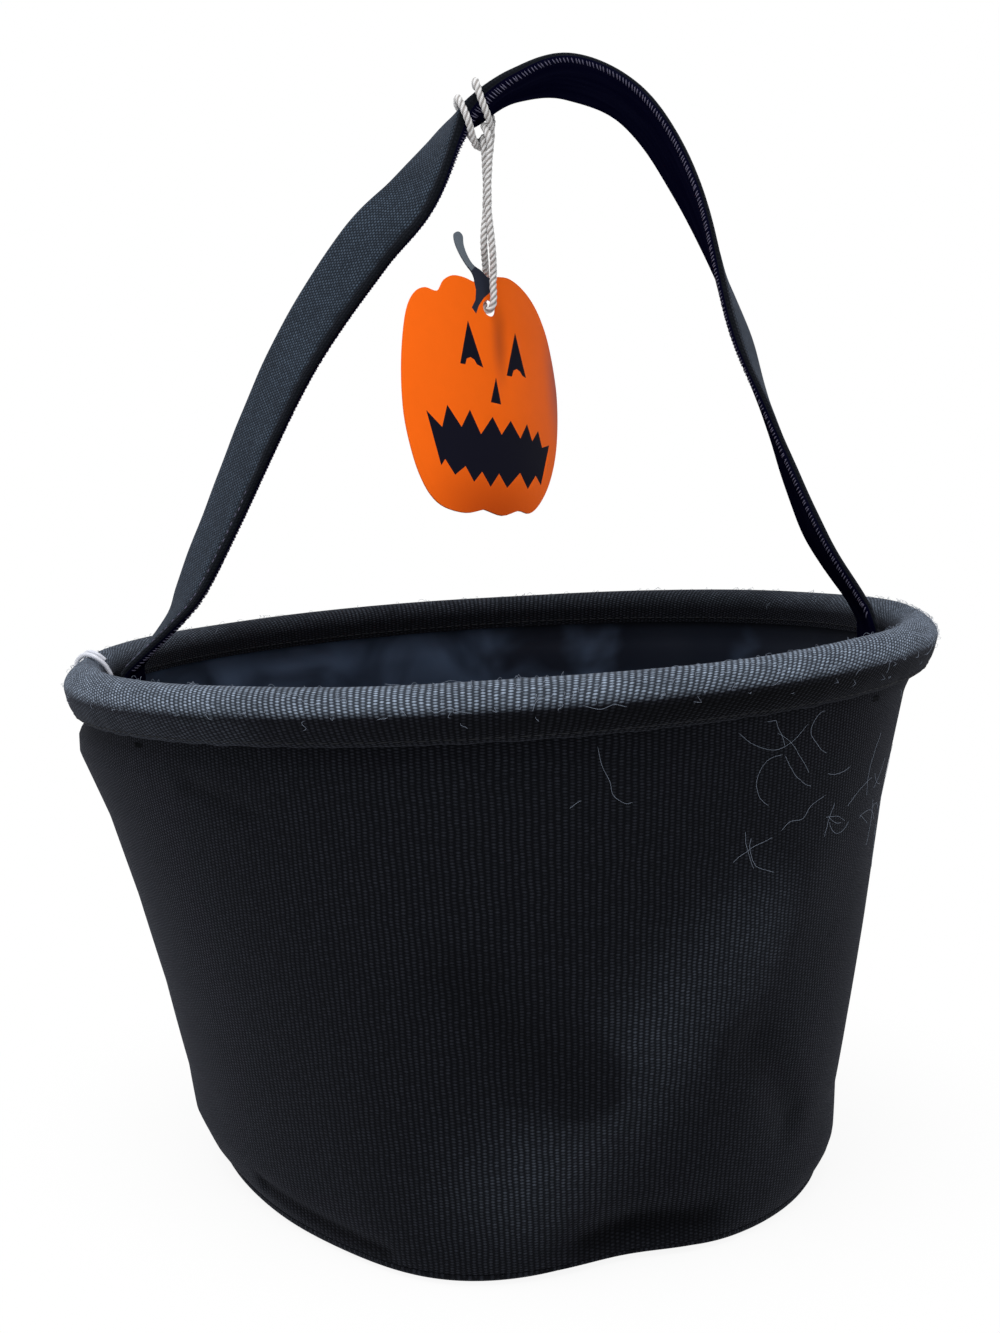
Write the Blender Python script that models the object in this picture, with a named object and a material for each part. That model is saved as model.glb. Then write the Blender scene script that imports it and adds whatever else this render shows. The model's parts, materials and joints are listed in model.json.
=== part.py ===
"""A soft canvas treat bucket with a strap handle and a hanging card tag.

Lengths are in metres. X runs to the right, Y to the back and Z up.
The origin is the centre of the base's underside.
"""

import math

import bmesh
import bpy
import mathutils
import numpy as np
from mathutils.geometry import delaunay_2d_cdt

MM = 0.001
AROUND = 56
GAP = 0.3

# The rim: half widths, centre and slopes of its outside line.
RIM_X = 126.2
RIM_Y = 109.0
RIM_AT = (-5.9, 8.9, 146.3)
RIM_SLOPE = (0.0597, -0.0159)
ROLL_WIDE = 12.0
ROLL_TOP = 7.5
ROLL_LOW = -7.5
ROLL_INNER_LOW = -2.6
CANVAS = 1.2

# The base and the layers of the wall, as distances in from the canvas's outside.
BASE_R = 87.3
BELLY = 2.2
EDGE_UP = 2.7
WALL_IN = 4.9 + CANVAS + GAP
WALL_TOP = -1.0
INTERLINING = (1.8, 3.2)
LINING = (3.6, 4.2)
BOARD = (EDGE_UP - CANVAS, 3.5)
LINING_BASE = (3.8, 4.4)

# The hoop.
HOOP_IN = ROLL_WIDE / 2
HOOP_UP = 2.6
HOOP_R = 3.3
HOOP_BORE = 2.1
JOINER_R = HOOP_BORE - GAP

# The strap: its section, its reach above the sewn ends, and the line that it swings about.
STRAP_WIDE = 24.0
STRAP_THICK = 3.4
STRAP_RISE = 166.5
STRAP_LEAN = 18.0
GATHERED_WIDE = 18.0
GATHERED_THICK = 6.6
TAB_THICK = 1.0
TAB_LOW = -6.5
TAB_HIGH = 3.0
TAB_SEAT = GAP + 0.1
TAB_BOW = 2.4
HINGE_X = RIM_X - ROLL_WIDE - TAB_BOW - TAB_THICK - TAB_SEAT - STRAP_THICK / 2
HINGE_Y = 4.0
HINGE_UP = 1.5

# The cord and the tag, placed from the strap's middle line where the hitch holds it.
CORD_R = 1.0
PAIR_BEFORE = 9.0
PAIR_APART = 2.6
CUT_DROP = 27.7
HOLE_FROM_HITCH = (4.0, -PAIR_BEFORE, -57.4)
HOLE_R = 2.5
CARD = 0.5
CARD_BEND = 83.0
CARD_TURN = (45.6, -15.5, 11.2)
FASTENER_R = 0.7
FASTENER_BACK = 0.02


def clear_scene():
    for thing in list(bpy.data.objects):
        bpy.data.objects.remove(thing, do_unlink=True)


def material(name, colour, rough, metal=0.0):
    made = bpy.data.materials.new(name)
    made.use_nodes = True
    shader = made.node_tree.nodes["Principled BSDF"]
    shader.inputs["Base Color"].default_value = (*colour, 1.0)
    shader.inputs["Roughness"].default_value = rough
    shader.inputs["Metallic"].default_value = metal
    return made


def canvas(name):
    return material(name, (0.012, 0.013, 0.016), 0.95)


def lining_cloth(name):
    return material(name, (0.02, 0.023, 0.032), 0.6)


def white_felt(name):
    return material(name, (0.5, 0.5, 0.48), 0.9)


def board_stock(name):
    return material(name, (0.32, 0.24, 0.16), 0.85)


def hoop_plastic(name):
    return material(name, (0.03, 0.03, 0.03), 0.45)


def cord_cotton(name):
    return material(name, (0.58, 0.57, 0.55), 0.85)


def printed_card(name):
    return material(name, (0.93, 0.15, 0.01), 0.45)


def clear_plastic(name):
    return material(name, (0.75, 0.77, 0.82), 0.35)


def add(name, points, faces, look):
    """An object from points in millimetres, with smooth faces and sharp corners."""
    mesh = bpy.data.meshes.new(name)
    mesh.from_pydata([[c * MM for c in p] for p in points], [], faces)
    shell = bmesh.new()
    shell.from_mesh(mesh)
    bmesh.ops.recalc_face_normals(shell, faces=shell.faces)
    shell.to_mesh(mesh)
    shell.free()
    thing = bpy.data.objects.new(name, mesh)
    bpy.context.scene.collection.objects.link(thing)
    mesh.materials.append(look(name))
    mesh.shade_smooth()
    mesh.set_sharp_from_angle(angle=math.radians(35))
    return thing


def tube_faces(rows, across, ring):
    """Faces between rows of points; ring joins the last row to the first, else both ends are capped."""
    faces = []
    for i in range(rows if ring else rows - 1):
        for j in range(across):
            a = i * across + j
            b = i * across + (j + 1) % across
            c = (i + 1) % rows * across + (j + 1) % across
            d = (i + 1) % rows * across + j
            faces.append((a, b, c, d))
    if not ring:
        faces.append(tuple(reversed(range(across))))
        faces.append(tuple(range((rows - 1) * across, rows * across)))
    return faces


def angles():
    return [2 * math.pi * i / AROUND for i in range(AROUND)]


def rim_point(angle, inset, up):
    x = (RIM_X - inset) * math.cos(angle)
    y = (RIM_Y - inset) * math.sin(angle)
    z = up + RIM_SLOPE[0] * x + RIM_SLOPE[1] * y
    return (RIM_AT[0] + x, RIM_AT[1] + y, RIM_AT[2] + z)


def wall_point(angle, share, inset, low):
    """A point of a wall layer: share 0 is its lower edge and 1 is the rim's seam."""
    top = rim_point(angle, WALL_IN + inset, ROLL_LOW)
    out = BELLY * math.sin(math.pi * share**0.6)
    x = (BASE_R - inset) * math.cos(angle) * (1 - share) + top[0] * share
    y = (BASE_R - inset) * math.sin(angle) * (1 - share) + top[1] * share
    z = low * (1 - share) + top[2] * share
    return (x + out * math.cos(angle), y + out * math.sin(angle), z)


def wall_layer(name, inner, outer, low, shares, look):
    """A tapered tube of cloth between two distances in from the canvas's outside."""
    rows = []
    for angle in angles():
        up = [wall_point(angle, s, outer, low) for s in shares]
        up.append(rim_point(angle, WALL_IN + outer, WALL_TOP))
        down = [wall_point(angle, s, inner, low) for s in shares]
        down.append(rim_point(angle, WALL_IN + inner, WALL_TOP))
        rows += up + down[::-1]
    across = 2 * (len(shares) + 1)
    return add(name, rows, tube_faces(AROUND, across, True), look)


def arc(x, z, r, start, end, steps):
    turn = [start + (end - start) * i / steps for i in range(steps + 1)]
    return [(x + r * math.cos(math.radians(a)), z + r * math.sin(math.radians(a))) for a in turn]


def rim_band():
    """Canvas folded over the hoop, open at the bottom where it holds the wall's top edge."""
    half = ROLL_WIDE / 2
    middle = ROLL_TOP - half
    flange = WALL_IN - GAP
    outside = [(flange - CANVAS, ROLL_LOW), (2.4, -4.4)]
    outside += arc(half, middle, half, 195, 0, 9)
    outside += [(ROLL_WIDE, ROLL_INNER_LOW)]
    inside = [(flange, ROLL_LOW), (2.4 + CANVAS, -4.0)]
    inside += arc(half, middle, half - CANVAS, 195, 0, 7)
    inside += [(ROLL_WIDE - CANVAS, ROLL_INNER_LOW)]
    section = outside + inside[::-1]
    rows = [rim_point(a, *p) for a in angles() for p in section]
    add("rim_band", rows, tube_faces(AROUND, len(section), True), canvas)


def rim_hoop():
    """A bent plastic tube whose ends meet at the back; its bore is open at both ends."""
    reach = 2 * math.pi - 0.01
    turns = [math.pi / 2 + 0.005 + reach * i / AROUND for i in range(AROUND + 1)]
    outer = arc(HOOP_IN, HOOP_UP, HOOP_R, 0, 315, 7)
    bore = arc(HOOP_IN, HOOP_UP, HOOP_BORE, 0, 315, 7)
    sides = len(outer)
    points = [rim_point(a, *p) for a in turns for p in outer]
    points += [rim_point(a, *p) for a in turns for p in bore]
    rows = len(turns)
    half = rows * sides
    faces = tube_faces(rows, sides, False)[:-2]
    faces += [tuple(half + i for i in f) for f in faces]
    for j in range(sides):
        k = (j + 1) % sides
        faces.append((k, j, half + j, half + k))
        last = (rows - 1) * sides
        faces.append((last + j, last + k, half + last + k, half + last + j))
    add("rim_hoop", points, faces, hoop_plastic)


def hoop_joiner():
    """A short rod inside both ends of the hoop."""
    turns = [math.pi / 2 + 0.09 * (i / 4 - 1) for i in range(9)]
    ring = arc(HOOP_IN, HOOP_UP, JOINER_R, 0, 315, 7)
    rows = [rim_point(a, *p) for a in turns for p in ring]
    add("hoop_joiner", rows, tube_faces(len(turns), len(ring), False), hoop_plastic)


def lathe(name, profile, look):
    """A disc turned about the base's upright axis; the profile's ends lie on the axis."""
    inner = profile[1:-1]
    points = [(0, 0, profile[0][1]), (0, 0, profile[-1][1])]
    for angle in angles():
        points += [(r * math.cos(angle), r * math.sin(angle), z) for r, z in inner]
    count = len(inner)
    faces = []
    for i in range(AROUND):
        a = 2 + i * count
        b = 2 + (i + 1) % AROUND * count
        faces.append((0, b, a))
        faces.append((1, a + count - 1, b + count - 1))
        faces += [(a + j, b + j, b + j + 1, a + j + 1) for j in range(count - 1)]
    add(name, points, faces, look)


def base_parts():
    r = BASE_R
    outer = [(0, 0), (r - 2.6, 0), (r - 0.7, 0.8), (r, EDGE_UP), (r - CANVAS, EDGE_UP)]
    outer += [(r - 2.1, 1.9), (r - 5.4, CANVAS), (0, CANVAS)]
    lathe("outer_base", outer, canvas)
    board = r - 6.0
    low, high = BOARD
    lathe("base_board", [(0, low), (board, low), (board, high), (0, high)], board_stock)
    cloth = r - LINING[1] - GAP
    low, high = LINING_BASE
    lathe("lining_base", [(0, low), (cloth, low), (cloth, high), (0, high)], lining_cloth)


def smooth(points, steps):
    """A Catmull-Rom curve through the points, with that many pieces between two of them."""
    p = np.array([points[0], *points, points[-1]], float)
    p[0] = 2 * p[1] - p[2]
    p[-1] = 2 * p[-2] - p[-3]
    out = []
    for a, b, c, d in zip(p, p[1:], p[2:], p[3:]):
        for i in range(steps):
            t = i / steps
            cubic = -a + 3 * b - 3 * c + d
            square = 2 * a - 5 * b + 4 * c - d
            out.append(b + 0.5 * t * (c - a + t * (square + t * cubic)))
    return np.array(out + [p[-2]])


def hinge_points():
    """The two ends of the line that the strap swings about."""
    ends = []
    for side in (-1, 1):
        x = side * HINGE_X
        z = HINGE_UP + RIM_SLOPE[0] * x + RIM_SLOPE[1] * HINGE_Y
        ends.append((RIM_AT[0] + x, RIM_AT[1] + HINGE_Y, RIM_AT[2] + z))
    return np.array(ends)


def hinge_up():
    """The direction square to the hinge line in the strap's upright plane."""
    left, right = hinge_points()
    across = (right - left) / np.linalg.norm(right - left)
    return np.cross(across, (0.0, 1.0, 0.0))


def strap_stations():
    """The strap's line from its left end to its right one: x, y, z, twist, width, thickness."""
    left, right = hinge_points()
    middle = (left + right) / 2
    up = hinge_up()
    # Shares of the half span, of the lean and of the rise, and the twist in degrees.
    left_leg = [
        (-0.892, 0.061, 0.048, 9),
        (-0.842, 0.133, 0.104, 22),
        (-0.763, 0.256, 0.218, 29),
        (-0.569, 0.528, 0.500, 39),
        (-0.377, 0.717, 0.693, 46),
        (-0.243, 0.806, 0.791, 40),
    ]
    top = [(-0.134, 0.906, 0.896, 17), (-0.067, 0.950, 0.943, -2), (0.038, 0.989, 0.985, -10)]
    right_leg = [
        (0.188, 1.000, 1.000, -21),
        (0.365, 0.944, 0.944, -17),
        (0.512, 0.817, 0.796, -9),
        (0.642, 0.594, 0.567, 14),
        (0.724, 0.456, 0.418, 6),
        (0.852, 0.244, 0.210, -4),
        (0.968, 0.117, 0.091, -2),
    ]
    scale = np.array([HINGE_X, STRAP_LEAN, STRAP_RISE])
    flat = (STRAP_WIDE, STRAP_THICK)
    half = ((STRAP_WIDE + GATHERED_WIDE) / 2, 5.0)
    sections = [half, (GATHERED_WIDE, GATHERED_THICK), half]
    stations = [
        (*(left - 3.2 * up), 0, *flat),
        (*(left - 0.8 * up), 0, *flat),
        (left[0] + 0.6, left[1], left[2] + 1.6, 0, *flat),
    ]
    stations += [(*(middle + scale * s[:3]), s[3], *flat) for s in left_leg]
    stations += [(*(middle + scale * s[:3]), s[3], *size) for s, size in zip(top, sections)]
    stations += [(*(middle + scale * s[:3]), s[3], *flat) for s in right_leg]
    stations += [
        (right[0] - 0.4, right[1], right[2] + 2.0, 0, *flat),
        (*(right - 0.8 * up), 0, *flat),
        (*(right - 3.2 * up), 0, *flat),
    ]
    return stations


def hitch_at():
    """The strap's middle line where it is gathered under the cord."""
    gathered = min(strap_stations(), key=lambda s: s[4])
    return np.array(gathered[:3])


def handle_strap():
    """A flat band swept along its line, its flat side turned by the twist about that line."""
    line = smooth(strap_stations(), 2)
    along = np.gradient(line[:, :3], axis=0)
    along /= np.linalg.norm(along, axis=1)[:, None]
    section = [(-0.5, 0.2), (-0.5, -0.2), (-0.44, -0.5), (0.44, -0.5)]
    section += [(0.5, -0.2), (0.5, 0.2), (0.44, 0.5), (-0.44, 0.5)]
    rows = []
    for at, t in zip(line, along):
        flat = np.array([0.0, 1.0, 0.0]) - t[1] * t
        flat /= np.linalg.norm(flat)
        face = np.cross(t, flat)
        turn = math.radians(at[3])
        wide = math.cos(turn) * flat + math.sin(turn) * face
        deep = math.cos(turn) * face - math.sin(turn) * flat
        rows += [tuple(at[:3] + u * at[4] * wide + v * at[5] * deep) for u, v in section]
    add("handle_strap", rows, tube_faces(len(line), len(section), False), canvas)


def strap_ends():
    """The turned-under ends, flat against the roll's inner side and square to the hinge line."""
    left, right = hinge_points()
    across = (right - left) / np.linalg.norm(right - left)
    up = hinge_up()
    away = STRAP_THICK / 2 + TAB_SEAT
    for name, end, side in (("left", left, -1), ("right", right, 1)):
        rows = []
        for depth in (away, away + TAB_THICK):
            for y, z in ((-0.5, TAB_LOW), (0.5, TAB_LOW), (0.5, TAB_HIGH), (-0.5, TAB_HIGH)):
                at = end + side * depth * across + z * up
                rows.append(tuple(at + np.array([0, y * STRAP_WIDE, 0])))
        add("strap_end_" + name, rows, tube_faces(2, 4, False), canvas)


def cord(name, points, radius, look, shares=None):
    """A round tube along points in millimetres, with closed ends; shares thin it at its points."""
    curve = bpy.data.curves.new(name, "CURVE")
    curve.dimensions = "3D"
    curve.bevel_depth = radius * MM
    curve.bevel_resolution = 1
    curve.use_fill_caps = True
    spline = curve.splines.new("POLY")
    spline.points.add(len(points) - 1)
    for i, (point, at) in enumerate(zip(spline.points, points)):
        point.co = (*[c * MM for c in at], 1.0)
        point.radius = shares[i] if shares else 1.0
    thing = bpy.data.objects.new(name, curve)
    bpy.context.scene.collection.objects.link(thing)
    curve.materials.append(look(name))


def hitch_line():
    """The cord on the strap: from the left strand back under the strap, up behind it, over and down the
    front, round the bight that both strands pass through, and the same way back to the right strand."""
    low = 14.0
    line = [
        (2.1, -PAIR_BEFORE, -low - 2.0),
        (2.1, -PAIR_BEFORE, -low),
        (2.7, -8.0, -10.4),
        (2.6, -5.2, -8.5),
        (2.4, 0.0, -8.2),
        (0.8, 6.4, -8.6),
        (-1.4, 11.2, -6.4),
        (-3.6, 12.0, -1.8),
        (-5.1, 9.9, 1.9),
        (-5.3, 0.0, 1.8),
        (-4.9, -9.2, 2.2),
        (-3.4, -11.9, -0.6),
        (-1.7, -12.1, -4.8),
        (-0.4, -9.4, -9.4),
        (0.7, -6.0, -11.0),
        (2.9, -5.2, -11.4),
        (5.2, -6.2, -9.8),
        (5.5, -8.2, -6.4),
        (4.7, -10.8, -3.0),
        (3.3, -11.7, 0.4),
        (2.0, -11.6, 3.8),
        (1.0, -9.6, 6.9),
        (0.6, 0.0, 6.6),
        (1.0, 9.0, 7.2),
        (2.8, 11.8, 3.2),
        (4.8, 11.0, -1.2),
        (4.6, 6.6, -4.4),
        (3.4, 0.0, -5.0),
        (2.7, -6.2, -5.4),
        (3.7, -10.2, -7.8),
        (4.5, -10.2, -11.4),
        (4.7, -PAIR_BEFORE, -low),
        (4.7, -PAIR_BEFORE, -low - 2.0),
    ]
    return smooth(line, 2) + hitch_at()


def least_gap(line, radius):
    """The least clear distance between two parts of a tube that aren't next to each other."""
    apart = np.linalg.norm(line[:, None] - line[None], axis=2)
    along = np.concatenate([[0], np.cumsum(np.linalg.norm(np.diff(line, axis=0), axis=1))])
    far = np.abs(along[:, None] - along[None]) > 4 * math.pi * radius / 2
    return float(apart[far].min() - 2 * radius)


def hole_at():
    return hitch_at() + np.array(HOLE_FROM_HITCH)


def card_place():
    """The tag's turn about its hole, as a matrix of its own axes."""
    yaw, lean, roll = (math.radians(a) for a in CARD_TURN)
    turn = mathutils.Matrix.Rotation(yaw, 3, "Z") @ mathutils.Matrix.Rotation(lean, 3, "X")
    return turn @ mathutils.Matrix.Rotation(roll, 3, "Y")


def card_point(u, v, off):
    """A point of the bent card: u across, v down from the hole, off towards the front."""
    a = u / CARD_BEND
    r = CARD_BEND + off
    flat = mathutils.Vector((r * math.sin(a), CARD_BEND - r * math.cos(a), -v))
    return np.array(card_place() @ flat) + hole_at()


def strand_tops():
    """The centres of the round tops of the two strands that hang from the hitch."""
    return hitch_line()[[0, -1]] - np.array([0, 0, GAP + CORD_R])


def cord_cut():
    """The point on the line from the hitch to the hole where the cord is cut in two."""
    top = strand_tops().mean(axis=0)
    hole = hole_at()
    height = hitch_at()[2] - CUT_DROP
    return hole + (top - hole) * (height - hole[2]) / (top[2] - hole[2])


def tag_strings():
    """The doubled cord, cut where it twists: it runs through the tag's hole and back."""
    top = strand_tops()
    cut = cord_cut()
    half = np.array([PAIR_APART / 2, 0, 0])
    up = np.array([0, 0, 1.0])
    # The upper stretch is one tube: down one strand, round a small turn and up the other.
    turn = cut + up * (GAP + CORD_R + 0.7)
    upper = [top[0], top[0] - 2 * up, cut - half + up * 5]
    upper += [turn - half * 0.72 + up * 0.35, turn - up * 0.35]
    upper += [turn + half * 0.72 + up * 0.35, cut + half + up * 5, top[1] - 2 * up, top[1]]
    line = smooth(upper, 3)
    # Each top is rounded about its centre, so that the strands can swing under the hitch.
    ball = [(0.97, 0.25), (0.7, 0.72)]
    line = [top[0] + up * a for a, _ in ball] + list(line) + [top[1] + up * a for a, _ in ball[::-1]]
    shares = [r for _, r in ball] + [1.0] * (len(line) - 4) + [r for _, r in ball[::-1]]
    cord("string_upper", line, CORD_R, cord_cotton, shares)
    # The lower one runs down before the card, through its hole and up beside the stem.
    lower = [cut - half, cut - half - 2 * up]
    through = [(0.3, -13, 4.6), (0, -7, 3.4), (0, -3.6, 2.9), (0, -1.2, 2.4), (0, 0.5, 1.4), (0, 1.1, 0)]
    through += [(0, 0.5, -1.4), (0.2, -1.2, -2.4), (0.8, -3.6, -2.9), (2.2, -7, -2.8), (3.2, -11, -2.4)]
    through += [(3.4, -14.5, -0.6)]
    lower += [card_point(u, v, off) for u, v, off in through]
    lower += [cut + half - 2 * up, cut + half]
    cord("string_lower", smooth(lower, 3), CORD_R, cord_cotton)
    print("hitch's least gap, mm:", round(least_gap(hitch_line(), CORD_R), 2))


def card_outline():
    """The tag's edge from the bottom up its right side, round the stem and down again; u across, v down."""
    right = [(-6.0, 61.5), (1.0, 62.4), (8.0, 59.9), (13.0, 59.8), (18.5, 56.0), (25.0, 48.5)]
    right += [(30.4, 39.0), (33.5, 29.2), (34.6, 19.5), (33.4, 12.0), (30.6, 4.4), (26.8, -1.4)]
    right += [(22.0, -6.2), (16.0, -9.6), (9.5, -11.3), (4.2, -10.6), (0.4, -9.4)]
    stem = [(-2.4, -11.0), (-5.4, -12.2), (-7.4, -14.6), (-8.6, -17.6), (-8.8, -20.4), (-10.2, -21.4)]
    stem += [(-11.8, -20.4), (-11.6, -17.8), (-10.2, -14.8), (-8.0, -11.8), (-5.8, -9.6), (-5.2, -7.0)]
    left = [(-9.0, -7.6), (-13.0, -7.5), (-16.2, -5.6), (-18.6, -1.9), (-22.6, -2.4), (-26.0, -0.4)]
    left += [(-28.6, 5.0), (-30.3, 15.0), (-31.0, 25.6), (-30.7, 36.0), (-29.2, 45.0), (-27.0, 52.7)]
    left += [(-23.8, 58.8), (-19.4, 62.2), (-12.4, 63.2)]
    return right + stem + left


def hang_tag():
    """A bent card with a round hole, its outline cut on a grid so that it follows the bend."""
    edge = []
    outline = card_outline()
    for (u, v), (s, t) in zip(outline, outline[1:] + outline[:1]):
        parts = max(1, round(math.hypot(s - u, t - v) / 5))
        edge += [(u + (s - u) * i / parts, v + (t - v) * i / parts) for i in range(parts)]
    hole = [(HOLE_R * math.cos(a), HOLE_R * math.sin(a)) for a in np.arange(12) * math.pi / 6]
    grid = [(u, v) for u in range(-24, 25, 8) for v in range(4, 58, 9)]
    middle = [p for p in grid if math.hypot(*p) > 5 and math.hypot(p[0] / 27, (p[1] - 28) / 30) < 1]
    count, rim = len(edge), len(hole)
    loops = [[i for i in range(count)], [count + i for i in reversed(range(rim))]]
    lines = [(a[i], a[(i + 1) % len(a)]) for a in loops for i in range(len(a))]
    flat = [mathutils.Vector(p) for p in edge + hole + middle]
    points, _, faces, *_ = delaunay_2d_cdt(flat, lines, [], 2, 1e-6)
    faces = [tuple(f) for f in faces if np.linalg.norm(np.mean([points[i] for i in f], axis=0)) > 2.3]
    solid = [tuple(card_point(u, v, side * CARD)) for side in (-0.5, 0.5) for u, v in points]
    half = len(points)
    sides = {(f[i], f[(i + 1) % 3]) for f in faces for i in range(3)}
    rim_edges = [(a, b) for a, b in sides if (b, a) not in sides]
    all_faces = [tuple(reversed(f)) for f in faces]
    all_faces += [tuple(i + half for i in f) for f in faces]
    all_faces += [(a, b, b + half, a + half) for a, b in sorted(rim_edges)]
    add("hang_tag", solid, all_faces, printed_card)


def tag_fastener():
    """A thin plastic loop over the roll beside the strap's left end, its short end inside."""
    clear = FASTENER_R + GAP + 0.15
    half = ROLL_WIDE / 2
    middle = ROLL_TOP - half
    over = [(0.10, 5), (0.10, 40), (0.09, 75), (0.06, 100), (0.02, 125), (-0.03, 150), (-0.08, 178)]
    back = [(-0.105, 193), (-0.135, 178), (-0.105, 150), (-0.05, 125), (0.0, 100), (0.03, 75), (0.035, 45)]
    points = []
    for turn, deep in over + back:
        inset = half + (half + clear) * math.cos(math.radians(deep))
        up = middle + (half + clear) * math.sin(math.radians(deep))
        points.append(rim_point(math.pi + turn - FASTENER_BACK, inset, up))
    cord("tag_fastener", smooth(points, 2), FASTENER_R, clear_plastic)


def hang_on(name, at, axis, carried, carrier=None):
    """An empty on a joint's axis, its X along it, which carries the pieces that the joint moves."""
    joint = bpy.data.objects.new(name, None)
    bpy.context.scene.collection.objects.link(joint)
    joint.location = [c * MM for c in at]
    joint.rotation_mode = "QUATERNION"
    joint.rotation_quaternion = mathutils.Vector(axis).to_track_quat("X", "Z")
    pairs = [(bpy.data.objects[piece], joint) for piece in carried]
    if carrier:
        pairs.append((joint, carrier))
    for thing, holder in pairs:
        bpy.context.view_layer.update()
        thing.parent = holder
        thing.matrix_parent_inverse = holder.matrix_world.inverted()
    return joint


def joints():
    """The strap swings on its sewn ends, the cord under the hitch, and the tag turns below it."""
    left, right = hinge_points()
    strap = hang_on("strap_swing", (left + right) / 2, right - left, ["handle_strap", "string_wrap"])
    at = strand_tops().mean(axis=0)
    string = hang_on("string_swing", at, (1, 0, 0), ["string_upper"], strap)
    tag = hang_on("tag_turn", cord_cut(), (0, 0, 1), ["string_lower", "hang_tag"], string)
    for joint in (strap, string, tag):
        print(joint.name, [round(c, 5) for c in joint.location])


clear_scene()
wall_layer("outer_wall", CANVAS, 0.0, EDGE_UP + GAP, (0, 0.1, 0.25, 0.45, 0.7, 1), canvas)
wall_layer("wall_interlining", INTERLINING[1], INTERLINING[0], EDGE_UP + GAP, (0, 0.2, 0.5, 1), white_felt)
wall_layer("lining_wall", LINING[1], LINING[0], LINING_BASE[0], (0, 0.2, 0.5, 1), lining_cloth)
base_parts()
rim_band()
rim_hoop()
hoop_joiner()
handle_strap()
strap_ends()
cord("string_wrap", hitch_line(), CORD_R, cord_cotton)
tag_strings()
hang_tag()
tag_fastener()
joints()
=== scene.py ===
"""A soft canvas treat bucket with a strap handle and a card tag, dressed as in its photograph.

The functions below work in millimetres: X to the right, Y to the back and Z up, as in the frame.
"""

import json
import math
from functools import partial

import bmesh
import bpy
import numpy as np
from mathutils import Matrix, Vector
from mathutils.geometry import delaunay_2d_cdt


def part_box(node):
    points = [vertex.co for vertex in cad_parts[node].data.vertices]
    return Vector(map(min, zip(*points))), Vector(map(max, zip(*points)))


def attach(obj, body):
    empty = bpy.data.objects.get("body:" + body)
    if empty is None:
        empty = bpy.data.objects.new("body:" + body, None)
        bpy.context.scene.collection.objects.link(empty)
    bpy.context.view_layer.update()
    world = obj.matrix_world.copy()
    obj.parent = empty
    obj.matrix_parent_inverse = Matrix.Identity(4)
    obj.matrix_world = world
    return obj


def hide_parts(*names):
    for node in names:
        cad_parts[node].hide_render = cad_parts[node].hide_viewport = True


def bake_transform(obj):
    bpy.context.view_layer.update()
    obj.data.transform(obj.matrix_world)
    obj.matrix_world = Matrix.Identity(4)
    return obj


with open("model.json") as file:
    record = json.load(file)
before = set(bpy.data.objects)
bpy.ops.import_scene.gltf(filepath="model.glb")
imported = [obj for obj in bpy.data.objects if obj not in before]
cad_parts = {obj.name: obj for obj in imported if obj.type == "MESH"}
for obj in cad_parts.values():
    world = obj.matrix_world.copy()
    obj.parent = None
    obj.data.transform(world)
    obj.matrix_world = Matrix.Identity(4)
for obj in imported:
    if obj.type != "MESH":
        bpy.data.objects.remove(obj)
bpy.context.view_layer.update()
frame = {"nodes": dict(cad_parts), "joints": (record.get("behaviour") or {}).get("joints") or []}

# The camera stands in front of the bucket, a little above its rim, and looks slightly down.
CAMERA_AT = (-0.0059, -0.5711, 0.231)
CAMERA_DOWN = 0.150
FRAME_TALL_PX = 1333
FOCAL_PX = 1995.0
SENSOR_MM = 36.0


def put_up(name, data):
    """Puts a new object with this data in the scene."""
    made = bpy.data.objects.new(name, data)
    bpy.context.scene.collection.objects.link(made)
    return made


lens = bpy.data.cameras.new("camera")
lens.sensor_width = SENSOR_MM
lens.lens = FOCAL_PX / FRAME_TALL_PX * SENSOR_MM
camera = put_up("camera", lens)
camera.location = CAMERA_AT
camera.rotation_euler = (math.pi / 2 - CAMERA_DOWN, 0, 0)
bpy.context.scene.camera = camera
bpy.context.scene.view_settings.view_transform = "Standard"

# The tag string: a thin cotton cord, laid from three plies and left undyed. It is doubled and hitched on
# the strap left of its top: its bight hangs before the strap, and both strands drop through it.
MM = 0.001
CORD_R = 1.0
CORD_PLIES = 3
CORD_LAY = 5.4
CORD_SIDES = 18
# How deep the grooves between plies lie and how far a ply rises out of them, as shares of CORD_R.
GROOVE_AT = 0.84
PLY_RISE = 0.25
CORD_STEP = CORD_LAY / 14
PAIR = (0.35, -1.05, 0.0)
PAIR_BEFORE = 9.0
PAIR_SIDE = 3.4
HITCH_LOW = 16.0
STRAND_GAP = 0.3
COTTON_PALE = "dfdfe0"
COTTON_GROOVE_SHADE = "8f8a87"


def linear(code):
    """A hex colour as linear light, with full alpha."""
    parts = [int(code[i : i + 2], 16) / 255 for i in (0, 2, 4)]
    return (*[c / 12.92 if c <= 0.04045 else ((c + 0.055) / 1.055) ** 2.4 for c in parts], 1.0)


def feed(node, inputs):
    """Gives a node's sockets plain values, hex colours, or the outputs of other nodes."""
    for socket, value in inputs.items():
        if isinstance(value, bpy.types.NodeSocket):
            node.id_data.links.new(value, node.inputs[socket])
        else:
            node.inputs[socket].default_value = linear(value) if isinstance(value, str) else value


def add_node(tree, kind, inputs=None, **settings):
    """Adds a node with its settings and links, and gives back its outputs."""
    node = tree.nodes.new("ShaderNode" + kind)
    for name, value in settings.items():
        setattr(node, name, value)
    feed(node, inputs or {})
    return node.outputs


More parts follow.
